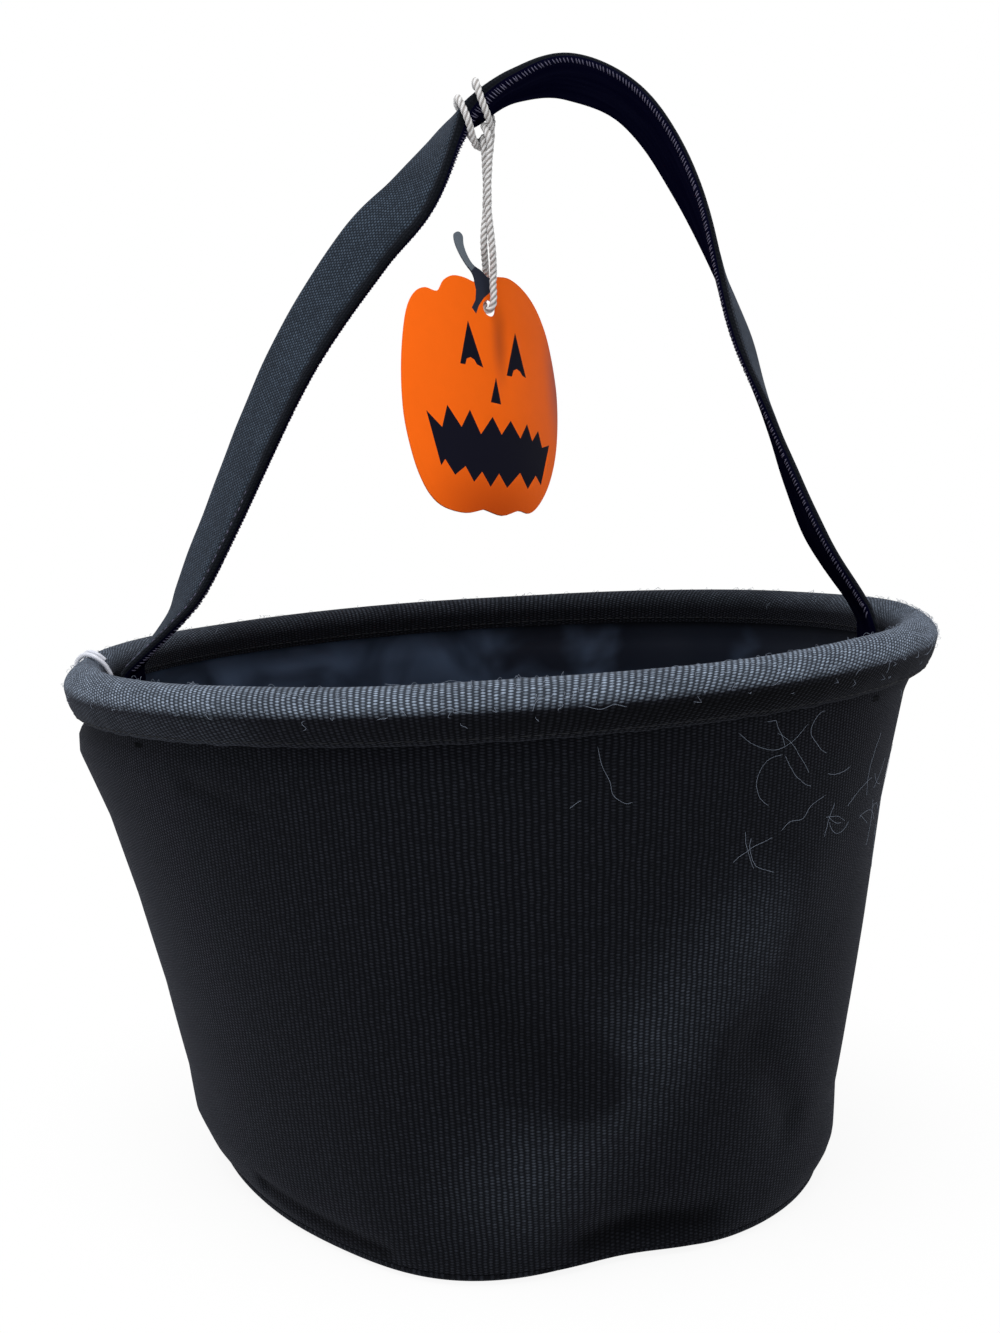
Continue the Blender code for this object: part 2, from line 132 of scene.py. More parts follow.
def new_material(name, **shader_values):
    """A material, add_node for its own tree, and its Principled shader."""
    made = bpy.data.materials.new(name)
    made.use_nodes = True
    shader = made.node_tree.nodes["Principled BSDF"]
    feed(shader, {socket.replace("_", " "): value for socket, value in shader_values.items()})
    return made, partial(add_node, made.node_tree), shader


def smooth(points, steps):
    """A Catmull-Rom curve through the points, with that many pieces between two of them."""
    p = np.array([points[0], *points, points[-1]], float)
    p[0] = 2 * p[1] - p[2]
    p[-1] = 2 * p[-2] - p[-3]
    out = []
    for a, b, c, d in zip(p, p[1:], p[2:], p[3:]):
        t = np.arange(steps)[:, None] / steps
        cubic = -a + 3 * b - 3 * c + d
        square = 2 * a - 5 * b + 4 * c - d
        out.append(b + 0.5 * t * (c - a + t * (square + t * cubic)))
    return np.concatenate([*out, [p[-2]]])


def distances(line):
    """How far along the line each of its points lies."""
    return np.concatenate([[0], np.cumsum(np.linalg.norm(np.diff(line, axis=0), axis=1))])


def spaced(line, step):
    """The line again, with its points an even step apart."""
    along = distances(line)
    places = np.linspace(0, along[-1], max(3, round(along[-1] / step) + 1))
    return np.stack([np.interp(places, along, line[:, k]) for k in range(line.shape[1])], axis=1)


def side_axes(line):
    """Two directions square to the line at each point, which never spin round it."""
    ahead = np.gradient(line, axis=0)
    ahead /= np.linalg.norm(ahead, axis=1)[:, None]
    side = np.cross(ahead[0], (0.31, 0.92, 0.24))
    first = []
    for t in ahead:
        side = side - side @ t * t
        side = side / np.linalg.norm(side)
        first.append(side)
    first = np.array(first)
    return first, np.cross(ahead, first)


def finish_mesh(name, mesh, looks):
    """Puts a mesh in the scene with smooth faces that point outwards, and its materials."""
    shell = bmesh.new()
    shell.from_mesh(mesh)
    bmesh.ops.recalc_face_normals(shell, faces=shell.faces)
    shell.to_mesh(mesh)
    shell.free()
    mesh.shade_smooth()
    mesh.set_sharp_from_angle(angle=math.radians(50))
    for look in looks:
        mesh.materials.append(look)
    return put_up(name, mesh)


def grid_piece(name, points, cloth, look, loop=(False, False), cap=False, rub_and_painted_light=None):
    """A mesh over rows and columns of points in mm. Cloth gives each point's place on the uncut material
    in mm, with one more row or column where the mesh joins up with its own start. The last argument says
    how rubbed each point is and how much highlight is painted on it, and below zero its painted shade."""
    rows, columns = points.shape[:2]
    i, j = np.meshgrid(np.arange(rows - (not loop[0])), np.arange(columns - (not loop[1])), indexing="ij")
    corner_rows = np.stack([i, i, i + 1, i + 1], axis=-1).reshape(-1, 4)
    corner_columns = np.stack([j, j + 1, j + 1, j], axis=-1).reshape(-1, 4)
    faces = ((corner_rows % rows) * columns + corner_columns % columns).tolist()
    places = np.asarray(cloth, float)[corner_rows, corner_columns].reshape(-1, 2)
    if cap:
        first, last = cloth[0][:columns], cloth[-1][:columns]
        faces += [list(range(columns))[::-1], [(rows - 1) * columns + k for k in range(columns)]]
        places = np.concatenate([places, first[::-1], last])
    mesh = bpy.data.meshes.new(name)
    mesh.from_pydata((points.reshape(-1, 3) * MM).tolist(), [], faces)
    mesh.uv_layers.new(name="cloth").uv.foreach_set("vector", places.astype(np.float32).ravel())
    piece = finish_mesh(name, mesh, [look])
    if rub_and_painted_light is not None:
        mesh.attributes.new("rub_and_painted_light", "FLOAT", "POINT").data.foreach_set("value", np.float32(rub_and_painted_light).ravel())
    return piece


def laid_cord(name, line, look):
    """A cord of plies along the line: its lobed section turns once in each length of lay."""
    along = distances(line)
    first, second = side_axes(line)
    around = 2 * np.pi * np.arange(CORD_SIDES) / CORD_SIDES
    lobes = CORD_R * (GROOVE_AT + PLY_RISE * np.abs(np.cos(CORD_PLIES * around / 2)))
    turned = (around[None] + 2 * np.pi * along[:, None] / CORD_LAY)[..., None]
    rings = np.cos(turned) * first[:, None] + np.sin(turned) * second[:, None]
    points = line[:, None] + lobes[None, :, None] * rings
    plies = np.arange(CORD_SIDES + 1) / CORD_SIDES * CORD_PLIES
    cloth = np.stack(np.meshgrid(along, plies, indexing="ij"), axis=-1)
    return grid_piece(name, points, cloth, look, (False, True), cap=True)


def cotton_yarn():
    """Undyed cotton yarn, spun and laid: matt and hairy, with painted shade in the grooves between plies."""
    made, add, shader = new_material("cotton_yarn", Roughness=0.85, Sheen_Weight=0.2, Sheen_Roughness=0.5)
    cloth = add("UVMap", uv_map="cloth")[0]
    plies = add("SeparateXYZ", {0: cloth})[1]
    across = add("Math", {0: plies}, operation="FRACT")[0]
    off_middle = add("Math", {0: across, 1: 0.5}, operation="SUBTRACT")[0]
    off_middle = add("Math", {0: off_middle}, operation="ABSOLUTE")[0]
    ridge = add("MapRange", {0: off_middle, 1: 0.0, 2: 0.42}, interpolation_type="SMOOTHSTEP")[0]
    # Spun fibres of about 0.2 mm run slantwise along each ply.
    slant = add("VectorMath", {0: cloth, 1: (1.6, 2.2, 1.0)}, operation="MULTIPLY")[0]
    fibres = add("TexNoise", {"Vector": slant, "Scale": 2.4, "Detail": 4.0, "Roughness": 0.7})[0]
    lifted = add("Math", {0: fibres, 1: 0.55}, operation="ADD")[0]
    shade = add("Math", {0: ridge, 1: lifted}, operation="MULTIPLY")[0]
    # The grooves between plies take the darker colour, as painted shade.
    colours = {0: shade, 6: COTTON_GROOVE_SHADE, 7: COTTON_PALE}
    height = add("Math", {0: ridge, 1: 0.5, 2: fibres}, operation="MULTIPLY_ADD")[0]
    bump = add("Bump", {"Height": height, "Strength": 0.7, "Distance": 0.0003})[0]
    feed(shader, {"Base Color": add("Mix", colours, data_type="RGBA")[2], "Normal": bump})
    return made


joints = {joint["name"]: joint for joint in frame["joints"]}
swing_at = np.array(joints["string_swing"]["pos_m"]) / MM
cut_at = np.array(joints["tag_turn"]["pos_m"]) / MM
pair = np.array(PAIR)
hitch_at = swing_at + np.array([-PAIR_SIDE, PAIR_BEFORE, HITCH_LOW + STRAND_GAP + CORD_R])
up = np.array([0.0, 0.0, 1.0])
hitch = [
    (2.7, -8.0, -10.4), (2.6, -5.2, -8.5), (2.4, 0.0, -8.2), (0.8, 6.4, -8.6), (-1.4, 11.2, -6.4),
    (-3.6, 12.0, -1.8), (-5.1, 9.9, 1.9), (-5.3, 0.0, 1.8), (-4.9, -9.2, 2.2), (-3.4, -11.9, -0.6),
    (-1.7, -12.1, -4.8), (-0.4, -9.4, -9.4), (0.7, -6.0, -11.0), (2.9, -5.2, -11.2), (4.6, -6.2, -9.5),
    (4.6, -8.2, -6.2), (3.7, -10.8, -2.8), (2.3, -11.7, 0.6), (1.1, -11.6, 4.0), (0.2, -9.6, 6.9),
    (0.2, 0.0, 6.6), (1.0, 9.0, 7.2), (2.8, 11.8, 3.2), (4.8, 11.0, -1.2), (4.6, 6.6, -4.4),
    (3.4, 0.0, -5.0), (2.7, -6.2, -5.4), (3.7, -10.2, -7.8), (4.5, -10.2, -11.4),
]
# Below the hitch the strands hang one almost behind the other.
strand_back = [(3.3, -8.0, -22.0), (3.1, -8.1, -18.0), (2.9, -8.4, -14.0)]
strand_front = [(4.2, -10.2, -14.0), (4.0, -10.1, -18.0), (3.8, -10.1, -22.0)]
loop_line = hitch_at + np.array([*strand_back, *hitch, *strand_front])
loop_line = spaced(smooth([cut_at - pair, *loop_line, cut_at + pair], 8), CORD_STEP)
string_look = cotton_yarn()
tag_string_hitch = laid_cord("tag_string_hitch", loop_line, string_look)
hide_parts("string_wrap", "string_upper")
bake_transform(tag_string_hitch)

# The lower end of the same string: its two strands run down to the tag, through the tag's hole from the
# front, and back up beside the stem. The tag hangs from it and turns as the strands twist.
CARD = 0.5
CARD_BEND = 83.0
CARD_TURN = (45.6, -15.5, 11.2)
HOLE_FROM_HITCH = (4.0, -PAIR_BEFORE, -57.4)
FRONT_STRAND = (1.5, -1.0, -12.5)
BACK_STRAND = (-1.0, -0.2, -10.5)
FOLD_FROM = 1.5
FOLD_TO = 4.0
FOLD_DEEP = 0.8
FOLD_FADES = 13.0
FOLD_STARTS = 1.0
FOLD_ENDS = 30.0

hole_at = hitch_at + np.array(HOLE_FROM_HITCH)
yaw, lean, roll = (math.radians(a) for a in CARD_TURN)
card_place = Matrix.Rotation(yaw, 3, "Z") @ Matrix.Rotation(lean, 3, "X") @ Matrix.Rotation(roll, 3, "Y")
card_place = np.array(card_place)


def card_point(u, v, off):
    """A point of the bent card: u across, v down from the hole, off towards the front. A soft fold runs
    down from beside the hole: right of it the card lies lower, and comes back up towards its edge."""
    u, v = np.asarray(u, float), np.asarray(v, float)
    across = np.clip((u - FOLD_FROM) / (FOLD_TO - FOLD_FROM), 0, 1)
    across = across * across * (3 - 2 * across) * np.exp(-np.clip(u - FOLD_TO, 0, None) / FOLD_FADES)
    down = np.clip((FOLD_ENDS - v) / 16, 0, 1) * np.clip((v - FOLD_STARTS) / 5, 0, 1)
    r = CARD_BEND + off - FOLD_DEEP * across * down
    flat = np.stack(
        np.broadcast_arrays(r * np.sin(u / CARD_BEND), CARD_BEND - r * np.cos(u / CARD_BEND), -v),
        axis=-1,
    )
    return flat @ card_place.T + hole_at


through = [
    (-0.8, -10, 3.6), (-0.5, -6.4, 2.8), (-0.2, -3.4, 2.5), (0, -1.2, 2.0), (0, 0.1, 1.2), (0, 0.5, 0),
    (0, 0.1, -1.2), (0.2, -1.4, -2.1), (0.6, -3.8, -2.6), (1.4, -7, -2.6), (1.6, -11, -2.0),
]
tag_line = [cut_at + pair, cut_at + pair - 2 * up, cut_at + FRONT_STRAND]
tag_line += [card_point(*p) for p in through]
tag_line += [cut_at + BACK_STRAND, cut_at - pair - 2 * up, cut_at - pair]
tag_line = spaced(smooth(tag_line, 8), CORD_STEP)
tag_string_loop = laid_cord("tag_string_loop", tag_line, string_look)
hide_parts("string_lower")
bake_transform(tag_string_loop)

# The bucket's wall: one panel of black ribbed canvas, sewn to a tube at the back and tapered to the base.
# It is soft, so it stands out under the rim's seam, sinks in at the sides and bulges over the base.
rim_low, rim_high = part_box("rim_band")
base_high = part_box("outer_base")[1]
RIM_X = (rim_high.x - rim_low.x) / 2 / MM
RIM_Y = (rim_high.y - rim_low.y) / 2 / MM
RIM_AT = ((rim_high.x + rim_low.x) / 2 / MM, (rim_high.y + rim_low.y) / 2 / MM, 146.3)
RIM_SLOPE = (0.0597, -0.0159)
BASE_R = base_high.x / MM
CANVAS = 1.2
LAYER_GAP = 0.3
WALL_IN = 4.9 + CANVAS + LAYER_GAP
WALL_TOP = -1.0
SEAM_UP = -7.5
WALL_LOW = base_high.z / MM + LAYER_GAP
BELLY = 2.2
WALL_COLUMNS = 480
WALL_ROWS = 90
DEGREE_MM = BASE_R * math.pi / 180
RIB = 1.43
BEAD = 0.80
# The weave's grooves get a darker colour as painted shade.
CANVAS_GROOVE_SHADE = "07080c"
CANVAS_THREAD = "1c1e24"
# The grey of rubbed beads and of painted highlight.
CANVAS_RUB_AND_HIGHLIGHT = "8b98aa"
GROOVE_RUB_AND_LIGHT = 0.12
SHEEN_BLUE = "c6cde6"
# How far each side stands out or sinks in, in mm, by share of the height.
LEFT_SIDE = [(0.0, 1.2), (0.1, 3.0), (0.2, 0.9), (0.4, -0.4), (0.6, 0.0), (0.78, 1.6)]
LEFT_SIDE += [(0.92, 5.0), (1.0, 2.6)]
RIGHT_SIDE = [(0.0, 1.0), (0.06, 1.6), (0.16, -1.2), (0.3, -1.7), (0.5, -2.1), (0.75, -3.0), (1.0, -1.2)]
SIDE_REACH = 34
UNEVEN = 0.35
# The slack dies out over these shares of the height, at the rim's seam and at the base's.
SEAM_EASE = 0.04
BASE_EASE = 0.03
# Where the cloth stands out or sinks in elsewhere: turn from the front in degrees, share of the height,
# how far each of the two reaches, and by how many millimetres.
SLACK = [
    (22, 0.05, 14, 0.05, -3.0), (30, 0.30, 16, 0.14, 1.0), (-30, 0.62, 22, 0.22, 1.2),
    (-20, 0.93, 40, 0.05, 0.5), (150, 0.50, 30, 0.25, -1.4), (200, 0.80, 26, 0.14, 1.6),
]
# Long folds: a line of such places, how far the fold reaches to its sides and how far it stands out, in
# mm, and how it is coloured: rubbed grey with painted highlight above zero, painted shade below zero.
FOLDS = [
    ([(42, 0.66), (25.5, 0.47), (17.5, 0.38), (7, 0.24), (0, 0.16)], 15.0, 1.9, 0.09),
    ([(-6, 0.57), (-0.5, 0.46), (10, 0.35)], 8.0, -1.4, -0.25),
    ([(38, 0.38), (44, 0.29), (50, 0.20)], 7.0, -1.6, -0.3),
    ([(-43, 0.92), (-33.5, 0.87)], 3.0, -0.7, -0.2),
    ([(-52, 0.055), (-37, 0.035), (-22, 0.02)], 2.6, -1.4, -0.6),
    ([(11, 0.035), (20, 0.05), (33, 0.045)], 5.0, -1.2, -0.6),
    ([(58, 0.97), (64, 0.5), (68, 0.1)], 22.0, 0.0, -0.4),
]
# Where the base's edge bulges or is pressed in: turn, reach in degrees, and millimetres.
BASE_SHAPE = [(-12, 17, 7.0), (19, 12, -4.4), (0, 60, 1.4), (-60, 22, -3.0), (75, 24, 0.6), (-90, 14, 1.2)]


def degrees_from(at, turn):
    """How many degrees a turn lies from a place on the rim, from -180 to 180."""
    return (np.degrees(turn) - at + 180) % 360 - 180


def bumps(turn, list_of_bumps):
    """The sum of smooth bumps round the bucket."""
    return sum(much * np.exp(-((degrees_from(at, turn) / wide) ** 2)) for at, wide, much in list_of_bumps)


def base_reach(turn):
    """The base's radius at each turn from the front."""
    return BASE_R + bumps(turn, BASE_SHAPE)


def whole_turn(count):
    """That many even turns round the bucket, from its back round its front."""
    return np.linspace(-np.pi, np.pi, count, endpoint=False)


def rim_ring(turn, inset, up_by):
    """Points in from the rim's outside line; turn is 0 at the front and grows to the right."""
    x = (RIM_X - inset) * np.sin(turn)
    y = -(RIM_Y - inset) * np.cos(turn)
    z = up_by + RIM_SLOPE[0] * x + RIM_SLOPE[1] * y
    return np.stack(np.broadcast_arrays(RIM_AT[0] + x, RIM_AT[1] + y, RIM_AT[2] + z), axis=-1)


def waves(turn, share, seed, low, high, count):
    """A smooth, repeatable unevenness that runs round the bucket, about 1 mm either way."""
    draw = np.random.default_rng(seed)
    total = 0.0
    for _ in range(count):
        folds = draw.integers(low, high)
        size, start, slant = draw.uniform(0.4, 1.0), draw.uniform(0, 6.3), draw.uniform(-2.5, 2.5)
        rise, phase = draw.uniform(1.0, 4.0), draw.uniform(0, 6.3)
        total = total + size * np.sin(folds * turn + start + slant * share) * np.sin(rise * share + phase)
    return total / math.sqrt(count)


def fold_share(turn, share, line, wide):
    """How near a place on the wall is to a fold's line, from 0 far off to 1 on it."""
    x = degrees_from(0, turn) * DEGREE_MM
    y = share * RIM_AT[2]
    nearest = np.full(np.broadcast(x, y).shape, np.inf)
    corners = np.array(line) * (DEGREE_MM, RIM_AT[2])
    for (a, b), (c, d) in zip(corners, corners[1:]):
        along = np.clip(((x - a) * (c - a) + (y - b) * (d - b)) / ((c - a) ** 2 + (d - b) ** 2), 0, 1)
        nearest = np.minimum(nearest, np.hypot(x - a - along * (c - a), y - b - along * (d - b)))
    return np.exp(-((nearest / wide) ** 2))


def slack(turn, share):
    """How far the cloth stands out from a smooth cone, in mm."""
    total = UNEVEN * waves(turn, share, 3, 2, 9, 8)
    for side, at in ((LEFT_SIDE, -88), (RIGHT_SIDE, 86)):
        total = total + np.interp(share, *zip(*side)) * bumps(turn, [(at, SIDE_REACH, 1.0)])
    for at, height, wide, tall, much in SLACK:
        total = total + bumps(turn, [(at, wide, much)]) * np.exp(-(((share - height) / tall) ** 2))
    for line, wide, much, _ in FOLDS:
        total = total + much * fold_share(turn, share, line, wide)
    return total


def wall_point(turn, share, inset, low):
    """Points of one layer of the wall: share 0 is its lower edge and 1 the rim's seam."""
    turn, share = np.broadcast_arrays(turn, share)
    top = rim_ring(turn, WALL_IN + inset, SEAM_UP)
    out = np.stack([np.sin(turn), -np.cos(turn), 0 * turn], axis=-1)
    foot = (base_reach(turn) - inset)[..., None] * out + np.array([0, 0, low])
    belly = BELLY * np.sin(np.pi * share**0.6)
    eased = np.minimum(1, (1 - share) / SEAM_EASE) * np.minimum(1, share / BASE_EASE)
    belly = belly + slack(turn, share) * eased
    share = share[..., None]
    return foot * (1 - share) + top * share + belly[..., None] * out


def ribbed_canvas(name, groove, thread, rub_and_painted_light, rib, bead):
    """Cotton canvas woven with raised ribs, dyed black: its floats show as rows of small beads, with painted
    shade in the grooves between them. It is matt and hardly shines at a slant. Where the mesh asks, it turns
    grey for rubbing and painted highlight, as where it is folded over the rim, and takes painted shade."""
    sheen = {"Sheen_Weight": 0.09, "Sheen_Roughness": 0.4, "Sheen_Tint": SHEEN_BLUE}
    made, add, shader = new_material(name, Roughness=0.9, Specular_IOR_Level=0.05, **sheen)
    cloth = add("UVMap", uv_map="cloth")[0]
    # The ribs wander by about half a millimetre over each centimetre.
    wander = add("TexNoise", {"Vector": cloth, "Scale": 0.12, "Detail": 2.0})[1]
    nudge = add("VectorMath", {0: wander, 1: (0.5, 0.5, 0.5)}, operation="SUBTRACT")[0]
    nudge = add("VectorMath", {0: nudge, "Scale": 1.1}, operation="SCALE")[0]
    moved = add("VectorMath", {0: cloth, 1: nudge}, operation="ADD")[0]
    place = add("SeparateXYZ", {0: moved})
    ribs = add("Math", {0: place[0], 1: rib}, operation="DIVIDE")[0]
    column = add("Math", {0: ribs}, operation="FLOOR")[0]
    across = add("Math", {0: ribs}, operation="FRACT")[0]
    # Beads of neighbouring ribs are offset by half a bead.
    beads = add("Math", {0: place[1], 1: bead}, operation="DIVIDE")[0]
    beads = add("Math", {0: column, 1: 0.5, 2: beads}, operation="MULTIPLY_ADD")[0]
    row = add("Math", {0: beads}, operation="FLOOR")[0]
    along = add("Math", {0: beads}, operation="FRACT")[0]
    bulge = 1.0
    for share, width in ((across, 2.4), (along, 2.3)):
        middle = add("Math", {0: share, 1: 0.5}, operation="SUBTRACT")[0]
        middle = add("Math", {0: middle, 1: width}, operation="MULTIPLY")[0]
        square = add("Math", {0: middle, 1: middle}, operation="MULTIPLY")[0]
        bulge = add("Math", {0: bulge, 1: square}, operation="SUBTRACT")[0]
    rise = add("Math", {0: bulge, 1: 0.0}, operation="MAXIMUM")[0]
    own = add("CombineXYZ", {0: column, 1: row})[0]
    random = add("TexWhiteNoise", {"Vector": own}, noise_dimensions="2D")[0]
    uneven = add("MapRange", {0: random, 3: 0.65, 4: 1.35})[0]
    # The mesh says how rubbed each place is and how much highlight is painted on it, and below zero how
    # deep its painted shade is.
    rub_and_light = add("Attribute", attribute_name="rub_and_painted_light")["Fac"]
    painted_shade = add("MapRange", {0: rub_and_light, 1: -1.0, 2: 0.0})[0]
    patch = add("TexNoise", {"Vector": cloth, "Scale": 0.05, "Detail": 3.0, "Roughness": 0.6})[0]
    patch = add("MapRange", {0: patch, 3: 0.3, 4: 1.5})[0]
    rub_and_light = add("Math", {0: rub_and_light, 1: patch}, operation="MULTIPLY")[0]
    thread_shade = add("Mix", {0: rub_and_light, 6: thread, 7: rub_and_painted_light}, data_type="RGBA")[2]
    thread_shade = add("VectorMath", {0: thread_shade, "Scale": uneven}, operation="SCALE")[0]
    # The grooves between the beads take the darker colour, as painted shade.
    ground = add("Math", {0: rub_and_light, 1: GROOVE_RUB_AND_LIGHT}, operation="MULTIPLY")[0]
    ground = add("Mix", {0: ground, 6: groove, 7: rub_and_painted_light}, data_type="RGBA")[2]
    colour = add("Mix", {0: rise, 6: ground, 7: thread_shade}, data_type="RGBA")[2]
    colour = add("VectorMath", {0: colour, "Scale": painted_shade}, operation="SCALE")[0]
    fuzz = add("TexNoise", {"Vector": cloth, "Scale": 2.5, "Detail": 2.0})[0]
    height = add("Math", {0: fuzz, 1: 0.25, 2: rise}, operation="MULTIPLY_ADD")[0]
    bump = add("Bump", {"Height": height, "Strength": 0.8, "Distance": 0.00022})[0]
    feed(shader, {"Base Color": colour, "Normal": bump})
    return made


def wall_tube(name, outer, inner, low, rows, look):
    """A closed tube of cloth between two depths in from the canvas's outside, sewn up at the back."""
    turn = whole_turn(WALL_COLUMNS)
    sheet = np.meshgrid(turn, np.linspace(0, 1, rows), indexing="ij")
    sides = []
    for inset in (outer, inner):
        side = wall_point(*sheet, inset, low)
        hem = rim_ring(turn, WALL_IN + inset, WALL_TOP)[:, None]
        sides.append(np.concatenate([side, hem], axis=1))
    points = np.concatenate([sides[0], sides[1][:, ::-1]], axis=1)
    radius = np.linalg.norm(points[..., :2], axis=-1)
    across = np.append(turn, np.pi)[:, None] * np.append(radius, radius[:1], axis=0)
    heights = np.append(points[..., 2], points[:1, :, 2], axis=0)
    cloth = np.stack([across, heights], axis=-1)
    cloth = np.append(cloth, cloth[:, :1], axis=1)
    # Raised folds are painted lighter, for rubbing and painted highlight; sunken folds and the wall's foot
    # get painted shade.
    rub_and_painted_light = np.zeros(points.shape[:2])
    rub_and_painted_light[:, :rows] = sum(much * fold_share(*sheet, line, wide) for line, wide, _, much in FOLDS)
    return grid_piece(name, points, cloth, look, (True, True), rub_and_painted_light=rub_and_painted_light)


canvas_look = ribbed_canvas("ribbed_canvas", CANVAS_GROOVE_SHADE, CANVAS_THREAD, CANVAS_RUB_AND_HIGHLIGHT, RIB, BEAD)
bucket_wall = wall_tube("bucket_wall", 0.0, CANVAS, WALL_LOW, WALL_ROWS, canvas_look)
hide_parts("outer_wall")
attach(bucket_wall, "bucket")

# The base panel: a disc of the same canvas whose edge turns up and is sewn to the wall's lower edge.
# The bucket stands on it. Its edge bulges left of the front and is pressed in and up right of it.
BASE_COLUMNS = 360
BASE_LIFT = 1.7
LIFT_AT = 19.0
LIFT_WIDE = 15.0


def base_panel():
    """The panel's section turned round, from its middle underneath, over the edge and back inside."""
    r = BASE_R
    top = base_high.z / MM
    section = [(0, 0), (20, 0), (45, 0), (62, 0), (74, 0), (r - 8, 0), (r - 4.5, 0.0), (r - 2.6, 0.1)]
    section += [(r - 1.4, 0.45), (r - 0.6, 1.0), (r - 0.1, 1.8), (r, top), (r - CANVAS, top)]
    section += [(r - 1.7, 2.2), (r - 2.6, 1.7), (r - 5.4, CANVAS), (60, CANVAS), (0, CANVAS)]
    section = np.array(section, float)
    turn = whole_turn(BASE_COLUMNS)[:, None]
    near_edge = np.clip((section[:, 0] - (r - 30)) / 30, 0, 1)
    radius = section[:, 0] + bumps(turn, BASE_SHAPE) * near_edge
    lift = BASE_LIFT * np.exp(-(((np.degrees(turn) - LIFT_AT) / LIFT_WIDE) ** 2))
    height = section[:, 1] + lift * near_edge**4 * (section[:, 1] < CANVAS)
    points = np.stack([radius * np.sin(turn), -radius * np.cos(turn), height], axis=-1)
    cloth = np.append(points[..., :2], points[:1, :, :2], axis=0)
    return grid_piece("bucket_base", points, cloth, canvas_look, (True, False))


bucket_base = base_panel()
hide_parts("outer_base")
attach(bucket_base, "bucket")

# The rim: a bias strip of the canvas, folded over the plastic hoop and sewn through below it. Its ribs
# lean away from the front. Its top is painted grey for rubbing and painted highlight, and its lower half
# has painted shade.
ROLL_WIDE = 12.0
ROLL_TOP = 7.5
ROLL_R = ROLL_WIDE / 2
ROLL_MIDDLE = ROLL_TOP - ROLL_R
ROLL_INNER_LOW = -2.6
ROLL_COLUMNS = 600
PINCH = 0.62
PINCH_REACH = 11.0
PUCKER = 0.3
PUCKER_FADES = 0.16
RIB_LEAN_LEFT = 0.6
RIB_LEAN_RIGHT = 1.0
# Between these shares of its way over, the roll is painted grey for rubbing and painted highlight, less
# so at the back; below them it has painted shade.
ROLL_RUBBED_AND_LIT = (0.29, 0.86)
BACK_RUBBED_AND_LIT = 0.12
ROLL_PAINTED_SHADE = 0.8


def roll_section():
    """The strip's outside from the seam over the hoop to its inner edge, as depth in and height."""
    turn = np.radians(np.linspace(196, 0, 15))
    over = np.stack([ROLL_R + ROLL_R * np.cos(turn), ROLL_MIDDLE + ROLL_R * np.sin(turn)], axis=-1)
    below = [(5.0, SEAM_UP), (3.4, -6.9), (1.7, -4.8), (0.7, -2.4)]
    return spaced(smooth([*below, *over, (ROLL_WIDE + 0.1, ROLL_INNER_LOW)], 6), 0.7)


def pinched(turn, depth, height):
    """The roll's section where the oval turns tightly, at its left and right: it is creased outside."""
    apart = np.abs(degrees_from(0, turn)) - 90
    power = 2 - PINCH * np.exp(-((apart / PINCH_REACH) ** 2))
    across, rise = np.broadcast_arrays(depth - ROLL_R, height - ROLL_MIDDLE)
    ray = np.hypot(across, rise) + 1e-6
    shrink = (np.abs(across / ray) ** power + np.abs(rise / ray) ** power) ** (-1 / power)
    return ROLL_R + across * shrink, ROLL_MIDDLE + rise * shrink


def roll_point(turn, place, off):
    """Points of the roll: place is the distance from the seam over it, off the height above the cloth."""
    outside = roll_section()
    ahead = np.gradient(outside, axis=0)
    ahead /= np.linalg.norm(ahead, axis=1)[:, None]
    out = np.stack([-ahead[:, 1], ahead[:, 0]], axis=-1)
    along = distances(outside)
    at = [np.interp(place, along, outside[:, k]) + off * np.interp(place, along, out[:, k]) for k in (0, 1)]
    return rim_ring(turn, *pinched(turn, *at))


def over_roll(turn, deep, off):
    """Points off the roll; deep is 180 degrees at its outer side, 90 on its top and 0 inside."""
    deep = np.radians(deep)
    depth, height = pinched(turn, ROLL_R + ROLL_R * np.cos(deep), ROLL_MIDDLE + ROLL_R * np.sin(deep))
    return rim_ring(turn, depth + off * np.cos(deep), height + off * np.sin(deep))


def roll_swell(turn, share):
    """How far the strip's outside stands out: small puckers above its seam and soft lumps over the hoop."""
    pucker = PUCKER * waves(turn, share, 11, 40, 95, 10) * np.exp(-share / PUCKER_FADES)
    return pucker + UNEVEN * waves(turn, share, 12, 3, 14, 8) * np.sin(np.pi * share) ** 0.5


